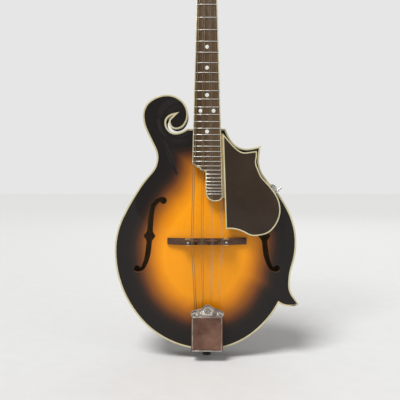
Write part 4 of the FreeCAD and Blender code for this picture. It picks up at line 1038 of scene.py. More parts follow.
@dataclass
class Body:
    """Carved top and back, their bindings and the ribs between them.

    Sizes are in millimetres. A run's places are shares of the width and the length, each with the
    outline's heading there in degrees.
    """

    width: float = 260.0
    length: float = 359.0
    chord: float = 4.0
    rib_height: float = 36.0
    rib_thickness: float = 2.4
    overhang: float = 1.6
    side_rim: float = 0.016
    plate: float = 4.2
    plate_edge: float = 4.5
    binding: float = 2.4
    binding_edge: float = 0.35
    top_arch: float = 13.0
    back_arch: float = 10.0
    arch_middle: float = 0.43
    arch_shares: Share = (0.432, 0.392, 0.398)
    arch_power: float = 1.25
    grid: float = 3.0
    grid_shift: float = 0.17
    cut_gap: float = 0.01
    slope_step: float = 0.1
    wall_lean: float = 0.5
    smooth: float = 40.0
    runs: tuple[Run, ...] = (
        ((-0.108, 0.868, 216), (-0.170, 0.852, 180), (-0.220, 0.892, 90), (-0.179, 0.922, 12)),
        ((-0.179, 0.922, 222), (-0.205, 0.895, 270), (-0.167, 0.866, 0), (-0.102, 0.924, 90),
         (-0.214, 1.001, 180), (-0.346, 0.919, 270), (-0.307, 0.828, 296), (-0.271, 0.756, 270),
         (-0.365, 0.640, 236), (-0.500, 0.390, 270), (0.000, 0.000, 0), (0.391, 0.183, 62)),
        ((0.391, 0.183, -35), (0.500, 0.178, 24)),
        ((0.500, 0.178, 124), (0.450, 0.255, 90), (0.485, 0.421, 90), (0.360, 0.637, 132),
         (0.282, 0.742, 90), (0.292, 0.802, 80)),
        ((0.292, 0.802, 200), (0.213, 0.790, 180), (0.101, 0.868, 106)),
    )
    eye_radius: float = 4.9
    eye_chord: float = 8.0
    upper_eye: Pair = (-0.2350, 0.5880)
    upper_turns: tuple[float, ...] = (200.0, 270.0, 360.0, 450.0)
    lower_eye: Pair = (-0.3780, 0.3190)
    lower_turns: tuple[float, ...] = (20.0, 90.0, 180.0, 270.0)
    scroll_eye: Pair = (-0.150, 0.900)
    groove: float = 3.2
    groove_radius: float = 24.0
    groove_width: float = 6.0
    groove_side: float = 200.0
    crease: tuple[Pair, Pair] = ((-0.230, 0.812), (-0.163, 0.691))
    crease_depth: float = 1.2
    crease_width: float = 2.2
    # Painted shade along the crease: the width of the dark line and how far it shortens the rim
    # distance, darkening the burst.
    crease_shade_spread: float = 1.3
    crease_shade: float = 0.03
    crease_fade: float = 0.12
    crease_cuts: int = 4
    crease_gap: float = 1.0
    crease_reach: float = 36.0

    def scale(self) -> Pair:
        """Width and length that the shares are of."""
        return self.width, self.length

    def draw(self, mesh: Mesh) -> Face:
        """Draw the body's whole outline as one face."""
        return face_of(mesh, outline(mesh, self.runs, self.scale(), self.chord))

    def base(self, side: Side) -> float:
        """Depth of a plate's outer edge."""
        return side.value * (self.rib_height / 2 + self.plate_edge)

    def arch(self, x: float, z: float) -> float:
        """Shape of the arch over the body.

        Args:
            x: Place across the body.
            z: Place up the body.

        Returns:
            Share of the arch's rise there.
        """
        up = z / self.length - self.arch_middle
        across, above, below = self.arch_shares
        share = min(math.hypot(x / self.width / across, up / (above if up > 0 else below)), 1.0)
        return ease(math.pi * share ** self.arch_power)

    def valley(self, x: float, z: float) -> float:
        """Carving of the scroll.

        Args:
            x: Place across the body.
            z: Place up the body.

        Returns:
            Depth of its groove and its crease there.
        """
        across = x - self.scroll_eye[0] * self.width
        up = z - self.scroll_eye[1] * self.length
        away = (math.hypot(across, up) - self.groove_radius) / self.groove_width
        lean = ease(math.atan2(up, across) - math.radians(self.groove_side))
        return (self.groove * math.exp(-away ** 2) * lean
                + self.crease_depth * self.crease_at(x, z, self.crease_width))

    def crease_at(self, x: float, z: float, spread: float) -> float:
        """Strength of the scroll's crease.

        Args:
            x: Place across the body.
            z: Place up the body.
            spread: Distance over which it fades.

        Returns:
            The strength there, up to one on its line.
        """
        start, end = (Vector((share[0] * self.width, share[1] * self.length))
                      for share in self.crease)
        way, point = end - start, Vector((x, z)) - start
        share = min(max(point.dot(way) / way.length_squared, 0.0), 1.0)
        fade = math.sin(math.pi * (self.crease_fade + (1 - 2 * self.crease_fade) * share))
        return math.exp(-((point - way * share).length / spread) ** 2) * fade

    def rise_at(self, x: float, z: float, side: Side) -> float:
        """Height of a plate's face over its edge.

        Args:
            x: Place across the body.
            z: Place up the body.
            side: The plate's side.

        Returns:
            The height along Y.
        """
        if side is Side.BACK:
            return self.back_arch * self.arch(x, z)
        return self.valley(x, z) - self.top_arch * self.arch(x, z)

    def eye_run(self, eye: Pair, turns: tuple[float, ...]) -> Run:
        """Arc round an eye of an f-hole.

        Args:
            eye: Its centre.
            turns: Angles of the arc's places.

        Returns:
            The arc's places.
        """
        run = []
        for turn in turns:
            reach = unit(math.radians(turn)) * self.eye_radius
            run.append((eye[0] + reach.x / self.width, eye[1] + reach.z / self.length, turn + 90.0))
        return tuple(run)

    def f_hole(self) -> tuple[Run, ...]:
        """Outline of the bass side's f-hole.

        Returns:
            Runs of its eyes, stem and nicks.
        """
        upper = self.eye_run(self.upper_eye, self.upper_turns)
        lower = self.eye_run(self.lower_eye, self.lower_turns)
        return (
            upper,
            ((*upper[-1][:2], 180), (-0.3060, 0.5600, 255), (-0.3235, 0.4680, 264)),
            ((-0.3430, 0.4490, 300),),
            ((-0.3255, 0.4300, 264), (-0.3460, 0.3450, 250), (*lower[0][:2], 225)),
            lower,
            ((*lower[-1][:2], 0), (-0.3110, 0.3600, 72), (-0.2960, 0.4300, 83)),
            ((-0.2770, 0.4490, 100),),
            ((-0.2920, 0.4680, 84), (-0.2790, 0.5600, 76), (*upper[0][:2], 45)),
        )

    def carve(self, mesh: Mesh, side: Side) -> None:
        """Fill outlines with a surface and raise its arch.

        Args:
            mesh: Mesh with the outlines.
            side: The plate's side.
        """
        bmesh.ops.triangle_fill(mesh, use_beauty=True, edges=mesh.edges[:], normal=(0, -1, 0))
        for way, low, high in ((Vector((1, 0, 0)), -self.width / 2, self.width / 2),
                               (Vector((0, 0, 1)), 0.0, self.length)):
            for number in range(1, int((high - low) / self.grid)):
                where = way * (low + number * self.grid + self.grid_shift)
                bmesh.ops.bisect_plane(mesh, geom=every(mesh), dist=self.cut_gap, plane_co=where,
                                       plane_no=way)
        if side is Side.TOP:
            self.part_crease(mesh)
        for vert in mesh.verts:
            vert.co.y = self.base(side) + self.rise_at(vert.co.x, vert.co.z, side)

    def part_crease(self, mesh: Mesh) -> None:
        """Cut the flat surface finely along the scroll's crease.

        Args:
            mesh: Mesh of the surface.
        """
        start, end = (Vector((share[0] * self.width, 0, share[1] * self.length))
                      for share in self.crease)
        middle, side = (start + end) / 2, Vector((end.z - start.z, 0, start.x - end.x)).normalized()
        for number in range(-self.crease_cuts, self.crease_cuts + 1):
            near = [face for face in mesh.faces
                    if (face.calc_center_median() - middle).length < self.crease_reach]
            around = {item for face in near for item in (*face.verts, *face.edges)}
            bmesh.ops.bisect_plane(mesh, geom=near + list(around), dist=self.cut_gap,
                                   plane_co=middle + side * (number * self.crease_gap), plane_no=side)

    def shade(self, thing: Thing, side: Side) -> None:
        """Shade a plate by the slope of its arch, whatever its cuts.

        Args:
            thing: The plate.
            side: Its side.
        """
        step, slopes, normals = self.slope_step, [], []
        for vert in thing.data.vertices:
            x, z = vert.co.x / MM, vert.co.z / MM - FRAMES.tail_reach
            across, up = (self.rise_at(x + dx, z + dz, side) - self.rise_at(x - dx, z - dz, side)
                          for dx, dz in ((step, 0.0), (0.0, step)))
            slopes.append(Vector((across / 2 / step, -1.0, up / 2 / step)).normalized())
        for face in thing.data.polygons:
            lean = face.normal.y
            front = 0.0 if abs(lean) < self.wall_lean else -math.copysign(1.0, lean)
            normals += [slopes[number] * front for number in face.vertices]
        thing.data.normals_split_custom_set(normals)

    def part_finishes(self, mesh: Mesh, side: Side) -> None:
        """Give a plate's walls and its inner face finishes of their own.

        Args:
            mesh: Mesh of the plate.
            side: Its side.
        """
        bmesh.ops.recalc_face_normals(mesh, faces=mesh.faces)
        for face in mesh.faces:
            lean = face.normal.y * side.value
            face.material_index = 1 if abs(lean) < self.wall_lean else 2 if lean < 0 else 0

    def rim_points(self) -> np.ndarray:
        """Corners of the body's outline, for the burst.

        Returns:
            The corners in metres, across and up.
        """
        mesh = bmesh.new()
        face = self.draw(mesh)
        points = np.array([(vert.co.x, vert.co.z + FRAMES.tail_reach) for vert in face.verts]) * MM
        mesh.free()
        return points

    def make_plate(self, piece: Piece, side: Side) -> None:
        """Carved plate, with f-holes and a painted shade line along the scroll's crease if it is the
        top.

        Args:
            piece: The plate's piece.
            side: Its side.
        """
        mesh = bmesh.new()
        face = self.draw(mesh)
        ring = ring_in(mesh, face, self.binding)
        inner = set(face.edges)
        bmesh.ops.delete(mesh, geom=[*ring, face], context="FACES_ONLY")
        outer = [edge for edge in mesh.edges if edge not in inner]
        bmesh.ops.delete(mesh, geom=outer, context="EDGES")
        if side is Side.TOP:
            for mirror in (1.0, -1.0):
                outline(mesh, self.f_hole(), self.scale(), self.eye_chord, mirror)
        self.carve(mesh, side)
        thicken(mesh, mesh.faces[:], -side.value * self.plate)
        self.part_finishes(mesh, side)
        thing = piece.finish(mesh, FRAMES.body(), smooth=self.smooth)
        self.shade(thing, side)
        gap = gap_to(thing, self.rim_points())
        # Painted shade: on the top the rim distance is shortened along the scroll's crease, so the
        # burst darkens there as the carving's shadow would.
        if side is Side.TOP:
            places = [(vert.co.x / MM, vert.co.z / MM - FRAMES.tail_reach)
                      for vert in thing.data.vertices]
            crease_shading = np.array([self.crease_at(x, z, self.crease_shade_spread) for x, z in places])
            gap = np.maximum(gap - self.crease_shade * crease_shading, 0.0)
        keep_rim(thing, gap)

    def make_ring(self, name: str, nodes: tuple[str, ...], side: Side) -> None:
        """Cream binding round a plate's edge.

        Args:
            name: Name of the piece.
            nodes: Nodes that it stands for.
            side: The plate's side.
        """
        mesh = bmesh.new()
        low, high = sorted((self.base(side), self.base(side) - side.value * self.plate_edge))
        slab(mesh, self.draw(mesh), self.binding, Part.BORDER, low, high)
        soften(mesh, self.binding_edge)
        Piece(name, nodes, (Finish.BINDING,), "binding").finish(mesh, FRAMES.body())

    def make_sides(self) -> None:
        """Ribs between the plates."""
        half = self.rib_height / 2
        mesh = bmesh.new()
        face = self.draw(mesh)
        bmesh.ops.delete(mesh, geom=ring_in(mesh, face, self.overhang), context="FACES")
        slab(mesh, face, self.rib_thickness, Part.BORDER, -half, half)
        nodes = ("bass_rib", "treble_lower_rib", "treble_middle_rib", "treble_upper_rib")
        thing = Piece("sides", nodes, (Finish.SIDES,), "rib_wood").finish(mesh, FRAMES.body())
        keep_rim(thing, self.side_rim)

    def make_inside(self) -> None:
        """Bare wood of the blocks, linings and bars."""
        for node in ("head_block", "tail_block", "point_blocks", "top_linings", "back_linings",
                     "tone_bars"):
            for held in frame["nodes"][node].material_slots:
                held.material = Finish.INNER.material()

    def make(self) -> None:
        """Build the whole body."""
        top = (Finish.TOP, Finish.HOLE, Finish.INNER)
        back = (Finish.BACK, Finish.HOLE, Finish.INNER)
        self.make_plate(Piece("soundboard", ("top_plate",), top, "top_wood"), Side.TOP)
        self.make_ring("top_binding_strip", ("top_binding",), Side.TOP)
        self.make_plate(Piece("back_board", ("back_plate",), back, "back_wood"), Side.BACK)
        self.make_ring("back_binding_strip", (), Side.BACK)
        self.make_sides()
        self.make_inside()


# Neck and peghead

@dataclass
class Neck:
    """Neck shaft, heel and peghead with its faces and binding.

    Heights along the shaft are measured from the saddle, and the peghead's places are shares of
    its width and length, measured from the nut.
    """

    rounds: int = 48
    depth_nut: float = 13.5
    depth_heel: float = 16.5
    shaft_end: float = 366.0
    shaft_start: float = 350.0
    shaft_steps: int = 8
    butt: float = 157.33
    heel_length: float = 40.0
    heel_depth: float = 50.0
    heel_steps: int = 12
    heel_reach: float = 1.1
    heel_narrowing: float = 0.25
    rim_height: float = 311.7
    back_depth: float = 22.5
    voxel: float = 1.3
    smoothing: int = 6
    tolerance: float = 1e-4
    cover_edge: float = 0.35
    nut_edge: float = 0.2
    smooth: float = 60.0
    wood_rim: float = 0.013
    head_width: float = 80.0
    head_length: float = 186.0
    head_thickness: float = 13.0
    head_chord: float = 6.0
    veneer: float = 1.6
    veneer_edge: float = 0.2
    binding: float = 1.5
    binding_height: float = 4.0
    binding_sunk: float = 0.3
    binding_edge: float = 0.3
    flare: Run = ((0.183, -0.005, 88), (0.244, 0.081, 58), (0.450, 0.194, 62))
    rest: tuple[Run, ...] = (
        ((0.450, 0.194, 152), (0.405, 0.290, 95), (0.394, 0.565, 90), (0.456, 0.742, 90),
         (0.325, 0.844, 180), (0.181, 0.790, 262)),
        ((0.181, 0.790, 96), (0.075, 0.946, 118), (0.000, 1.000, 150)),
        ((0.000, 1.000, 212), (-0.100, 0.936, 244), (-0.206, 0.790, 264)),
        ((-0.206, 0.790, 96), (-0.350, 0.871, 180), (-0.512, 0.780, 270), (-0.400, 0.560, 270),
         (-0.405, 0.290, 265), (-0.450, 0.194, 208)),
    )

    def draw(self, mesh: Mesh) -> Face:
        """Draw the peghead's outline as one face.

        Args:
            mesh: Mesh that takes it.

        Returns:
            The face.
        """
        down = tuple((-share[0], share[1], -share[2]) for share in reversed(self.flare))
        size = (self.head_width, self.head_length)
        return face_of(mesh, outline(mesh, (self.flare, *self.rest, down), size, self.head_chord))

    def station(self, along: float) -> Share:
        """Place along the plain shaft with its half width and depth."""
        deep = self.depth_nut + (self.depth_heel - self.depth_nut) * TAPER.share(along)
        return along, TAPER.half(along), deep

    def stations(self) -> list[Share]:
        """Places along the shaft and the heel.

        Returns:
            Their distances from the saddle, with half widths and depths.
        """
        start = self.butt + self.heel_length
        made = [self.station(self.shaft_end)]
        for number in range(self.shaft_steps + 1):
            run = (start - self.shaft_start) * number / self.shaft_steps
            made.append(self.station(self.shaft_start + run))
        for number in range(1, self.heel_steps + 1):
            share = self.heel_reach * number / self.heel_steps
            along, half, deep = self.station(start - share * self.heel_length)
            deep += (self.heel_depth - deep) * share ** 3
            made.append((along, half * (1 - self.heel_narrowing * share ** 2), deep))
        return made

    def shaft(self) -> Mesh:
        """Shaft and heel from a half round moved and sized along the neck.

        Returns:
            The mesh in the neck's frame.
        """
        mesh = bmesh.new()
        bmesh.ops.create_circle(mesh, segments=self.rounds, radius=1.0, cap_ends=False)
        upper = [vert for vert in mesh.verts if vert.co.y < -self.tolerance]
        bmesh.ops.delete(mesh, geom=upper, context="VERTS")
        edges = mesh.edges[:]
        ends = [vert for vert in mesh.verts if len(vert.link_edges) == 1]
        edges += bmesh.ops.contextual_create(mesh, geom=ends)["edges"]
        verts = mesh.verts[:]
        last = (0.0, 1.0, 1.0)
        for number, (along, half, deep) in enumerate(self.stations()):
            if number:
                made = bmesh.ops.extrude_edge_only(mesh, edges=edges)["geom"]
                edges = [edge for edge in of_kind(made, Edge) if not edge.link_faces[1:]]
                verts = of_kind(made, Vert)
            bmesh.ops.scale(mesh, vec=(half / last[1], deep / last[2], 1), verts=verts)
            bmesh.ops.translate(mesh, vec=(0, 0, along - last[0]), verts=verts)
            last = (along, half, deep)
        bmesh.ops.holes_fill(mesh, edges=mesh.edges[:], sides=0)
        bmesh.ops.translate(mesh, vec=(0, TAPER.board, 0), verts=mesh.verts)
        return mesh

    def trimmed_shaft(self) -> Mesh:
        """Shaft cut where it meets the rim and level with the back.

        Returns:
            The mesh in metres.
        """
        mesh = self.shaft()
        into = FRAMES.body().inverted() @ FRAMES.neck()
        bmesh.ops.transform(mesh, matrix=into, verts=mesh.verts)
        cut(mesh, (0, 0, self.rim_height), (0, 0, -1))
        cut(mesh, (0, self.back_depth, 0), (0, 1, 0))
        bmesh.ops.transform(mesh, matrix=FRAMES.body(), verts=mesh.verts)
        bmesh.ops.recalc_face_normals(mesh, faces=mesh.faces)
        return mesh

    def core(self) -> Mesh:
        """Wood of the peghead behind its faces.

        Returns:
            The mesh in metres.
        """
        mesh = bmesh.new()
        high = self.veneer + self.head_thickness
        raise_faces(mesh, [self.draw(mesh)], self.binding_height, high)
        bmesh.ops.transform(mesh, matrix=FRAMES.head(), verts=mesh.verts)
        return mesh

    def make_wood(self) -> None:
        """Shaft, heel and peghead carved from one blank."""
        mesh = self.trimmed_shaft()
        add_mesh(mesh, self.core())
        blank = linked("neck_blank", mesh)
        blank.modifiers.new("merge", "REMESH").voxel_size = self.voxel * MM
        graph = bpy.context.evaluated_depsgraph_get()
        mesh = bmesh.new()
        mesh.from_mesh(bpy.data.meshes.new_from_object(blank.evaluated_get(graph)))
        bpy.data.objects.remove(blank)
        for _ in range(self.smoothing):
            bmesh.ops.smooth_vert(mesh, verts=mesh.verts, factor=0.5, use_axis_x=True,
                                  use_axis_y=True, use_axis_z=True)
        wood = Piece("neck_wood", ("neck",), (Finish.NECK,), "neck_wood")
        keep_rim(wood.finish(mesh, Matrix.Identity(4), smooth=self.smooth), self.wood_rim)

    def make_face(self, piece: Piece, part: Part, high: float, edge: float) -> None:
        """Black face of the peghead, or the binding round it.

        Args:
            piece: The piece.
            part: Which of them it is.
            high: Depth where it ends.
            edge: Width of its eased edges.
        """
        mesh = bmesh.new()
        slab(mesh, self.draw(mesh), self.binding, part, 0.0, high)
        soften(mesh, edge)
        piece.finish(mesh, FRAMES.head())

    def make(self) -> None:
        """Build the neck and the peghead."""
        self.make_wood()
        face = Piece("peghead_face", ("peghead_veneer",), (Finish.BLACK,), "black_wood")
        strip = Piece("peghead_binding_strip", ("peghead_binding",), (Finish.BINDING,), "binding")
        self.make_face(face, Part.MIDDLE, self.veneer, self.veneer_edge)
        self.make_face(strip, Part.BORDER, self.binding_height + self.binding_sunk, self.binding_edge)
        refined("truss_cover", Finish.BLACK, "black_plastic", self.cover_edge)
        refined("truss_nut", Finish.BRASS, "brass", self.nut_edge)
        refined("truss_rod", Finish.STEEL, "steel", 0.0)


# Fingerboard

@dataclass
class Board:
    """Fingerboard with its binding, frets, dots and nut.

    The end's places are shares of the board's end width and of the scale.
    """

    binding: float = 1.6
    chord: float = 8.0
    edge: float = 0.2
    edge_angle: float = 50.0
    bass_end: float = 0.3053
    treble_end: float = 0.1740
    end: Run = (
        (-0.384, 0.2997, 298), (-0.256, 0.2906, 10), (-0.217, 0.2826, 330), (-0.070, 0.2755, 350),
        (-0.051, 0.2680, 270), (-0.051, 0.2030, 270), (0.077, 0.1655, 325), (0.240, 0.1590, 0),
        (0.426, 0.1635, 30),
    )
    fret_edge: float = 0.18
    fret_angle: float = 20.0
    nut_edge: float = 0.2
    dot: float = 2.8
    dot_rounds: int = 32
    dot_depths: Pair = (-0.05, 0.95)
    dot_edge: float = 0.12
    dots: tuple[tuple[int, tuple[float, ...]], ...] = (
        (5, (0.0,)), (7, (0.0,)), (10, (0.0,)), (12, (-8.9, 8.9)), (15, (0.0,)),
    )

    def corner(self, side: float, share: float) -> Run:
        """A corner on an edge of the board, its height a share of the scale."""
        return ((side * TAPER.half(share * TAPER.scale) / TAPER.end_width, share, 0.0),)

    def draw(self, mesh: Mesh) -> Face:
        """Draw the board, run on under the nut by its binding's width.

        Args:
            mesh: Mesh that takes it.

        Returns:
            The face.
        """
        nut = 1 + self.binding / TAPER.scale
        runs = (self.corner(-1, nut), self.corner(-1, self.bass_end), self.end,
                self.corner(1, self.treble_end), self.corner(1, nut))
        return face_of(mesh, outline(mesh, runs, (TAPER.end_width, TAPER.scale), self.chord))

    def make_wood(self, piece: Piece, part: Part) -> None:
        """The board itself, or else the binding round it.

        Args:
            piece: The piece.
            part: Which of them it is.
        """
        mesh = bmesh.new()
        slab(mesh, self.draw(mesh), self.binding, part, 0.0, TAPER.board)
        if part is Part.BORDER:
            cut(mesh, (0, 0, TAPER.scale), (0, 0, 1))
            bmesh.ops.recalc_face_normals(mesh, faces=mesh.faces)
        soften(mesh, self.edge, self.edge_angle)
        piece.finish(mesh, FRAMES.neck())

    def make_dots(self) -> None:
        """Pearl dots set into the fingerboard, midway between two frets."""
        mesh = bmesh.new()
        low, high = self.dot_depths
        for number, places in self.dots:
            along = TAPER.scale * (2 ** (-number / 12) + 2 ** (-(number - 1) / 12)) / 2
            for x in places:
                start, end = (Vector((x, depth, along)) for depth in (high, low))
                rod(mesh, start, end, self.dot, self.dot_rounds)
        soften(mesh, self.dot_edge)
        dots = Piece("pearl_dots", ("position_dots",), (Finish.PEARL,), "pearl")
        dots.finish(mesh, FRAMES.neck())

    def make(self) -> None:
        """Build the fingerboard's pieces."""
        wood = Piece("board_wood", ("fingerboard",), (Finish.BOARD,), "rosewood")
        edge = Piece("board_edge", ("fingerboard_binding",), (Finish.BINDING,), "binding")
        self.make_wood(wood, Part.MIDDLE)
        self.make_wood(edge, Part.BORDER)
        refined("frets", Finish.FRET, "nickel", self.fret_edge, self.fret_angle)
        refined("nut", Finish.BONE, "bone", self.nut_edge)
        self.make_dots()


# Tuners

@dataclass
class Tuners:
    """Geared tuners: plates, worms with their buttons, posts, bushings and screws."""

    pitch: float = 23.0
    rows: int = 4
    first: float = 50.0
    offset: float = 19.5
    edge: float = 0.15
    worm_drop: float = 7.8
    middle: float = 19.3
    shaft_reach: float = 1.5
    button_start: float = 42.0
    button_gap: float = 0.3
    button_half: Share = (7.25, 3.6, 6.2)
    button_powers: Share = (0.55, 0.62, 0.55)
    button_flare: float = 0.10
    button_rounds: tuple[int, int] = (40, 24)
    smooth: float = 40.0
    screw_depth: float = 15.8
    screw_size: Share = (1.7, 0.9, 1.7)
    screw_slot: Share = (2.4, 0.3, 0.4)
    screw_rounds: tuple[int, int] = (16, 8)
    screw_lift: float = 9.3
    first_screw_lift: float = 11.5

    def places(self) -> list[Pair]:
        """Places of the posts.

        Returns:
            The places up the bass side, then down the treble side.
        """
        heights = [self.first + row * self.pitch for row in range(self.rows)]
        return ([(-self.offset, height) for height in heights]
                + [(self.offset, height) for height in reversed(heights)])

    def add_button(self, mesh: Mesh, side: float, height: float) -> None:
        """Add a swollen oblong button, wider at its outer end.

        Args:
            mesh: Mesh that takes it.
            side: Minus one on the bass side.
            height: Place of its axis up the peghead.
        """
        long, deep, wide = self.button_half
        made = ball(mesh, Matrix.Identity(4), self.button_rounds)
        for vert in made:
            x, y, z = (math.copysign(abs(value) ** power, value)
                       for value, power in zip(vert.co, self.button_powers))
            flare = 1.0 + self.button_flare * x * side
            vert.co = Vector((x * long, y * deep * flare, z * wide * flare))
        spot = (side * (self.button_start + long + self.button_gap), self.middle, height)
        bmesh.ops.translate(mesh, vec=spot, verts=made)
        for face in {face for vert in made for face in vert.link_faces}:
            face.material_index = 1

    def make_button(self, number: int, side: float, height: float) -> None:
        """Pearly button with its worm and shaft.

        Args:
            number: Number of the tuner.
            side: Minus one on the bass side.
            height: Place of the worm's axis up the peghead.
        """
        node = "tuning_button_%d" % number
        mesh = node_copy(node)
        into = FRAMES.head().inverted() @ FRAMES.part()
        bmesh.ops.transform(mesh, matrix=into, verts=mesh.verts)
        cut(mesh, (side * (self.button_start + self.shaft_reach), 0, 0), (side, 0, 0))
        self.add_button(mesh, side, height)
        piece = Piece(node + "_dressed", (node,), (Finish.NICKEL, Finish.BUTTON), "ivory_plastic", node)
        piece.finish(mesh, FRAMES.head(), smooth=self.smooth)

    def make_screws(self) -> None:
        """Domed screws that hold the plates."""
        mesh = bmesh.new()
        dome = Matrix.Diagonal((*self.screw_size, 1.0))
        for side in (-1.0, 1.0):
            for row in range(-1, self.rows):
                lift = self.first_screw_lift if row < 0 else self.screw_lift
                height = self.first + row * self.pitch + lift
                spot = Matrix.Translation((side * self.offset, self.screw_depth, height))
                ball(mesh, spot @ dome, self.screw_rounds)
                top = self.screw_depth + self.screw_size[1]
                block(mesh, (side * self.offset, top, height), self.screw_slot)
        Piece("plate_screws", (), (Finish.NICKEL,), "nickel").finish(mesh, FRAMES.head())

    def make(self) -> None:
        """Build the tuners."""
        self.make_screws()
        refined("tuner_plates", Finish.NICKEL, "nickel", self.edge)
        refined("post_bushings", Finish.NICKEL, "nickel", self.edge)
        for number, (x, height) in enumerate(self.places(), start=1):
            self.make_button(number, math.copysign(1.0, x), height - self.worm_drop)
            refined("string_post_%d" % number, Finish.NICKEL, "nickel", self.edge)


# Bridge, tailpiece, strings and pickguard

@dataclass
class Bridge:
    """Two-piece bridge on its posts and thumbwheels."""

    base_edge: float = 0.4
    saddle_edge: float = 0.25
    post_edge: float = 0.2
    wheel_edge: float = 0.15

    def make(self) -> None:
        """Build the bridge's pieces."""
        refined("bridge_base", Finish.BRIDGE, "rosewood", self.base_edge)
        refined("bridge_saddle", Finish.BRIDGE, "rosewood", self.saddle_edge)
        refined("bridge_posts", Finish.NICKEL, "nickel", self.post_edge)
        for wheel in ("thumbwheel_bass", "thumbwheel_treble"):
            refined(wheel, Finish.BRASS, "brass", self.wheel_edge)


@dataclass
class Tail:
    """Tailpiece with its ornate cover, and the end pin."""

    base_edge: float = 0.2
    pin_edge: float = 0.3
    width: float = 47.0
    foot: float = 16.0
    front: float = -40.0
    edge: float = 0.3
    edge_angle: float = 30.0
    lip_start: float = 51.0
    lip_height: float = 16.6
    lip_front: float = -38.9
    lip_chord: float = 8.0
    border: float = 1.0
    border_depth: float = 0.8
    border_edge: float = 0.15
    cloud: Run = (
        (-0.468, 0.00, 95), (-0.481, 0.34, 100), (-0.380, 0.52, 20), (-0.179, 0.65, 20),
        (-0.094, 0.85, 45), (0.017, 1.00, 0), (0.126, 0.85, 315), (0.247, 0.68, 350),
        (0.400, 0.51, 330), (0.502, 0.24, 270), (0.468, 0.00, 250),
    )
    frame_side: float = 19.9
    frame_top: float = 63.6
    upright: Pair = (1.3, 0.6)
    bars: Pair = (16.7, 63.0)
    bar: Share = (41.0, 0.7, 1.3)
    flower_place: Pair = (0.5, 72.6)
    flower_reach: float = 3.4
    flower_petals: int = 8
    bud_place: Pair = (18.2, 66.4)
    bud_reach: float = 1.6
    bud_petals: int = 6
    petal_shares: Pair = (0.55, 0.36)
    petal_depth: float = 0.9
    petal_rounds: tuple[int, int] = (12, 8)
    volute_place: Pair = (15.8, 68.4)
    volute_radius: float = 0.62
    volute_reach: float = 4.0
    volute_share: float = 0.68
    volute_turns: int = 5
    volute_steps: int = 12
    volute_rounds: int = 8

    def cover(self) -> Mesh:
        """The cover's own shape, cut at its foot.

        Returns:
            The mesh, its lip parted from the sheet.
        """
        mesh = node_copy("tailpiece_cover")
        lip = self.lip_start + FRAMES.tail_reach
        cut(mesh, (0, 0, self.foot), (0, 0, -1))
        bmesh.ops.bisect_plane(mesh, geom=every(mesh), plane_co=(0, 0, lip), plane_no=(0, 0, -1))
        soften(mesh, self.edge, self.edge_angle)
        for face in mesh.faces:
            face.material_index = int(face.calc_center_median().z > lip)
        return mesh

    def on_lip(self, place: Pair, side: float = 1.0) -> Vector:
        """Point on the lip's front at a place across and up."""
        return Vector((side * place[0], self.lip_front, place[1]))

    def volute(self, mesh: Mesh, side: float) -> None:
        """Add a raised spiral of half rounds beside the flower.

        Args:
            mesh: Mesh that takes it.
            side: Minus one on the bass side.
        """
        start = self.on_lip(self.volute_place, side)
        made = bmesh.ops.create_circle(mesh, segments=self.volute_rounds, radius=self.volute_radius,
                                       matrix=Matrix.Translation(start))["verts"]
        ring = made + list({edge for vert in made for edge in vert.link_edges})
        centre = start - Vector((side * self.volute_reach, 0, 0))
        for _ in range(self.volute_turns):
            ring = bmesh.ops.spin(mesh, geom=ring, cent=centre, axis=(0, 1, 0),
                                  angle=-side * math.pi, steps=self.volute_steps)["geom_last"]
            start = 2 * centre - start
            centre = start + (centre - start) * self.volute_share

    def flower(self, mesh: Mesh, centre: Vector, reach: float, petals: int) -> None:
        """Add a round of raised petals about a bead.

        Args:
            mesh: Mesh that takes it.
            centre: Middle of the bead.
            reach: Distance of the petals from it.
            petals: Number of petals.
        """
        long, wide = self.petal_shares
        size = Matrix.Diagonal((reach * long, self.petal_depth, reach * wide, 1.0))
        for number in range(petals + 1):
            turn = 2 * math.pi * number / petals
            spot = centre + unit(turn) * (reach if number < petals else 0.0)
            place = Matrix.Translation(spot) @ Matrix.Rotation(-turn, 4, "Y") @ size
            ball(mesh, place, self.petal_rounds)

    def trim(self) -> Mesh:
        """Raised border, flowers, volutes and frame of the cover.

        Returns:
            The mesh.
        """
        mesh = bmesh.new()
        size = (self.width, self.lip_height)
        face = face_of(mesh, outline(mesh, (self.cloud,), size, self.lip_chord))
        front = self.lip_front - self.border_depth
        slab(mesh, face, self.border, Part.BORDER, front, self.lip_front)
        bmesh.ops.translate(mesh, vec=(0, 0, self.lip_start + FRAMES.tail_reach), verts=mesh.verts)
        self.flower(mesh, self.on_lip(self.flower_place), self.flower_reach, self.flower_petals)
        middle, height = (self.foot + self.frame_top) / 2, self.frame_top - self.foot
        for side in (-1.0, 1.0):
            self.volute(mesh, side)
            self.flower(mesh, self.on_lip(self.bud_place, side), self.bud_reach, self.bud_petals)
            block(mesh, (side * self.frame_side, self.front, middle), (*self.upright, height))
        for place in self.bars:
            block(mesh, (0.0, self.front, place), self.bar)
        bmesh.ops.recalc_face_normals(mesh, faces=mesh.faces)
        soften(mesh, self.border_edge)
        for face in mesh.faces:
            face.material_index = 1
        return mesh

    def make_cover(self) -> None:
        """Cover with its rolled edges and raised trim."""
        mesh = self.cover()
        add_mesh(mesh, self.trim())
        # The cover's brown finish holds tarnish and a painted reflection of the body.
        finishes = (Finish.TARNISH_AND_REFLECTION, Finish.LIP)
        piece = Piece("tail_cover", ("tailpiece_cover",), finishes, "aged_nickel", "tailpiece_cover")
        piece.finish(mesh, FRAMES.part(), closed=False)

    def make(self) -> None:
        """Build the pieces at the tail."""
        refined("tailpiece_base", Finish.NICKEL, "nickel", self.base_edge)
        self.make_cover()
        refined("end_pin", Finish.BLACK, "black_plastic", self.pin_edge)


@dataclass
class Strings:
    """Eight strings in four courses, smooth all round."""

    smooth: float = 70.0

    def make(self) -> None:
        """Build the strings."""
        refined("wound_strings", Finish.WINDING, "wound", 0.0, self.smooth)
        refined("plain_strings", Finish.STEEL, "steel", 0.0, self.smooth)


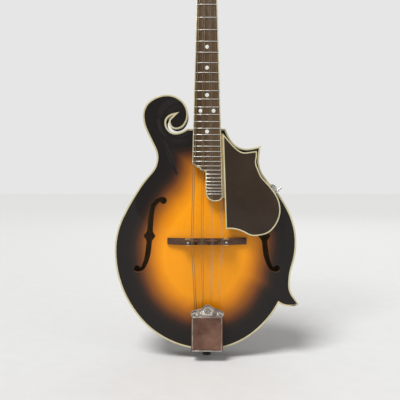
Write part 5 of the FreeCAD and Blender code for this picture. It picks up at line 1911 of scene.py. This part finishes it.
@dataclass
class Guard:
    """Raised pickguard with its binding, spacer and bracket, in the neck's frame."""

    width: float = 79.0
    length: float = 141.2
    drop: float = 1.6
    thickness: float = 2.5
    binding: float = 1.7
    edge: float = 0.25
    runs: tuple[Run, ...] = (
        ((0.275, 1.062, 312), (0.547, 0.899, 322), (0.868, 0.890, 8)),
        ((0.868, 0.890, 280), (0.870, 0.740, 290), (1.000, 0.603, 315), (1.272, 0.317, 270),
         (1.120, 0.120, 225), (0.825, 0.062, 182), (0.563, 0.115, 160), (0.323, 0.130, 185)),
    )
    spacer: tuple[Pair, ...] = ((19.5, 150.0), (21.7, 150.0), (24.2, 61.0), (21.7, 61.0))
    spacer_depths: Pair = (1.8, 5.4)
    spacer_edge: float = 0.2
    screw_place: Share = (94.2, -25.0, 233.6)
    screw_turn: float = 42.0
    screw_rods: tuple[Share, ...] = ((0.0, 13.5, 1.5), (3.0, 8.0, 2.5), (11.0, 12.8, 2.2))
    screw_edge: float = 0.3

    def make_plate(self, piece: Piece, part: Part) -> None:
        """The plate itself, or else the binding round it.

        Args:
            piece: The piece.
            part: Which of them it is.
        """
        mesh = bmesh.new()
        face = face_of(mesh, outline(mesh, self.runs, (self.width, self.length)))
        slab(mesh, face, self.binding, part, self.drop, self.drop + self.thickness)
        soften(mesh, self.edge)
        piece.finish(mesh, FRAMES.neck())

    def make_spacer(self) -> None:
        """Strip of wood between the fingerboard and the pickguard."""
        mesh = bmesh.new()
        corners = tuple(((x, z, 0.0),) for x, z in self.spacer)
        face = face_of(mesh, outline(mesh, corners, (1.0, 1.0)))
        raise_faces(mesh, [face], *self.spacer_depths)
        soften(mesh, self.spacer_edge)
        Piece("guard_spacer", (), (Finish.SPACER,), "inner_wood").finish(mesh, FRAMES.neck())

    def make_screw(self) -> None:
        """Round nut at the outer end of the bracket."""
        mesh = bmesh.new()
        spot, way = Vector(self.screw_place), unit(math.radians(self.screw_turn))
        for start, end, radius in self.screw_rods:
            rod(mesh, spot + way * start, spot + way * end, radius)
        soften(mesh, self.screw_edge)
        Piece("bracket_nut", (), (Finish.NICKEL,), "nickel").finish(mesh, FRAMES.part())

    def make(self) -> None:
        """Build the pickguard's pieces."""
        plate = Piece("guard_plate", ("pickguard",), (Finish.GUARD,), "guard")
        edge = Piece("guard_edge", ("pickguard_binding",), (Finish.BINDING,), "binding")
        self.make_plate(plate, Part.MIDDLE)
        self.make_plate(edge, Part.BORDER)
        refined("pickguard_bracket", Finish.NICKEL, "nickel", self.edge)
        self.make_spacer()
        self.make_screw()


# Studio

@dataclass
class Studio:
    """Pale floor, soft lamps and the camera; places are in metres."""

    photo_width: float = 0.562
    distance: float = 0.800
    edge_front: float = -0.0225
    camera_height: float = 0.264
    camera_side: float = -0.0097
    camera_pitch: float = 1.2
    frame_middle: float = 0.2246
    sensor: float = 36.0
    sight: float = 20.0
    sun_power: float = 2.9
    sun_spread: float = 25.0
    sun_way: Share = (0.40, 0.62, -1.1)
    lamps: tuple[tuple[str, Share], ...] = (("fill", (1.6, -1.4, 1.1)), ("back", (0.5, 1.8, 1.6)))
    lamp_size: float = 1.6
    lamp_power: float = 5.0
    lamp_aim: Share = (0.0, 0.0, 0.25)
    sky_light: float = 0.38
    backdrop: float = 0.79
    floor_size: float = 6.0
    floor_height: float = -0.0005
    floor_dark: Colour = (0.67, 0.67, 0.66)
    floor_light: Colour = (0.69, 0.69, 0.68)
    floor_ends: Pair = (0.3, 0.7)
    floor_cloud: Cloud = Cloud(40.0, 3.0)
    floor_gloss: Gloss = Gloss(0.8)

    def make_camera(self) -> None:
        """Camera in front of the body, tipped down a little."""
        pitch = math.radians(self.camera_pitch)
        aim = self.camera_height - self.distance * math.tan(pitch)
        data = bpy.data.cameras.new("camera")
        data.sensor_width = self.sensor
        data.lens = self.sensor * self.distance / self.photo_width
        data.shift_y = (self.frame_middle - aim) / self.photo_width
        data.clip_end = self.sight
        camera = bpy.data.objects.new("camera", data)
        camera.location = (self.camera_side, self.edge_front - self.distance, self.camera_height)
        camera.rotation_euler = (math.pi / 2 - pitch, 0, 0)
        bpy.context.scene.collection.objects.link(camera)
        bpy.context.scene.camera = camera

    def add_light(self, data: bpy.types.Light, place: Share, way: Vector) -> None:
        """Put a light in the scene.

        Args:
            data: The light.
            place: Its place.
            way: Direction that it shines in.
        """
        light = bpy.data.objects.new(data.name, data)
        light.location = place
        light.rotation_euler = way.to_track_quat("-Z", "Y").to_euler()
        bpy.context.scene.collection.objects.link(light)

    def make_sun(self) -> None:
        """Main light, high and from the left, with soft shadows."""
        data = bpy.data.lights.new("key", "SUN")
        data.energy, data.angle = self.sun_power, math.radians(self.sun_spread)
        self.add_light(data, (0.0, 0.0, 0.0), Vector(self.sun_way))

    def make_lamps(self) -> None:
        """Soft square lamps that face the instrument."""
        for name, place in self.lamps:
            data = bpy.data.lights.new(name, "AREA")
            data.size, data.energy = self.lamp_size, self.lamp_power
            self.add_light(data, place, Vector(self.lamp_aim) - Vector(place))

    def make_floor(self) -> None:
        """Floor under the instrument."""
        mesh = bmesh.new()
        bmesh.ops.create_grid(mesh, x_segments=1, y_segments=1, size=self.floor_size)
        bmesh.ops.translate(mesh, verts=mesh.verts, vec=(0, 0, self.floor_height))
        floor = linked("floor", mesh)
        bench = Bench("floor_paper")
        grain = bench.noise(bench.place(), self.floor_cloud)
        bench.colour(bench.tones(grain, self.floor_ends, self.floor_dark, self.floor_light))
        bench.gloss(self.floor_gloss)
        floor.data.materials.append(bench.material)

    def make_world(self) -> None:
        """Even pale light from all round, and a paler backdrop for the camera."""
        world = bpy.data.worlds.new("studio")
        bpy.context.scene.world = world
        world.use_nodes = True
        tree = world.node_tree
        light, seen = tree.nodes["Background"], tree.nodes.new("ShaderNodeBackground")
        for node, strength in ((light, self.sky_light), (seen, self.backdrop)):
            node.inputs["Color"].default_value = (1, 1, 1, 1)
            node.inputs["Strength"].default_value = strength
        path, mix = (tree.nodes.new(kind) for kind in ("ShaderNodeLightPath", "ShaderNodeMixShader"))
        for output, target in ((path.outputs["Is Camera Ray"], mix.inputs[0]),
                               (light.outputs[0], mix.inputs[1]), (seen.outputs[0], mix.inputs[2]),
                               (mix.outputs[0], tree.nodes["World Output"].inputs["Surface"])):
            tree.links.new(output, target)

    def make(self) -> None:
        """Build the studio."""
        self.make_camera()
        self.make_floor()
        self.make_world()
        self.make_sun()
        self.make_lamps()
        bpy.context.scene.view_settings.view_transform = "Standard"


def main() -> None:
    """Build the sub-assemblies in order."""
    logging.basicConfig(level=logging.INFO, format="%(name)s: %(message)s")
    for assembly in (Studio(), Body(), Neck(), Board(), Tuners(), Bridge(), Tail(), Strings(), Guard()):
        assembly.make()
        LOG.info("built %s", type(assembly).__name__)


if __name__ == "__main__":
    main()
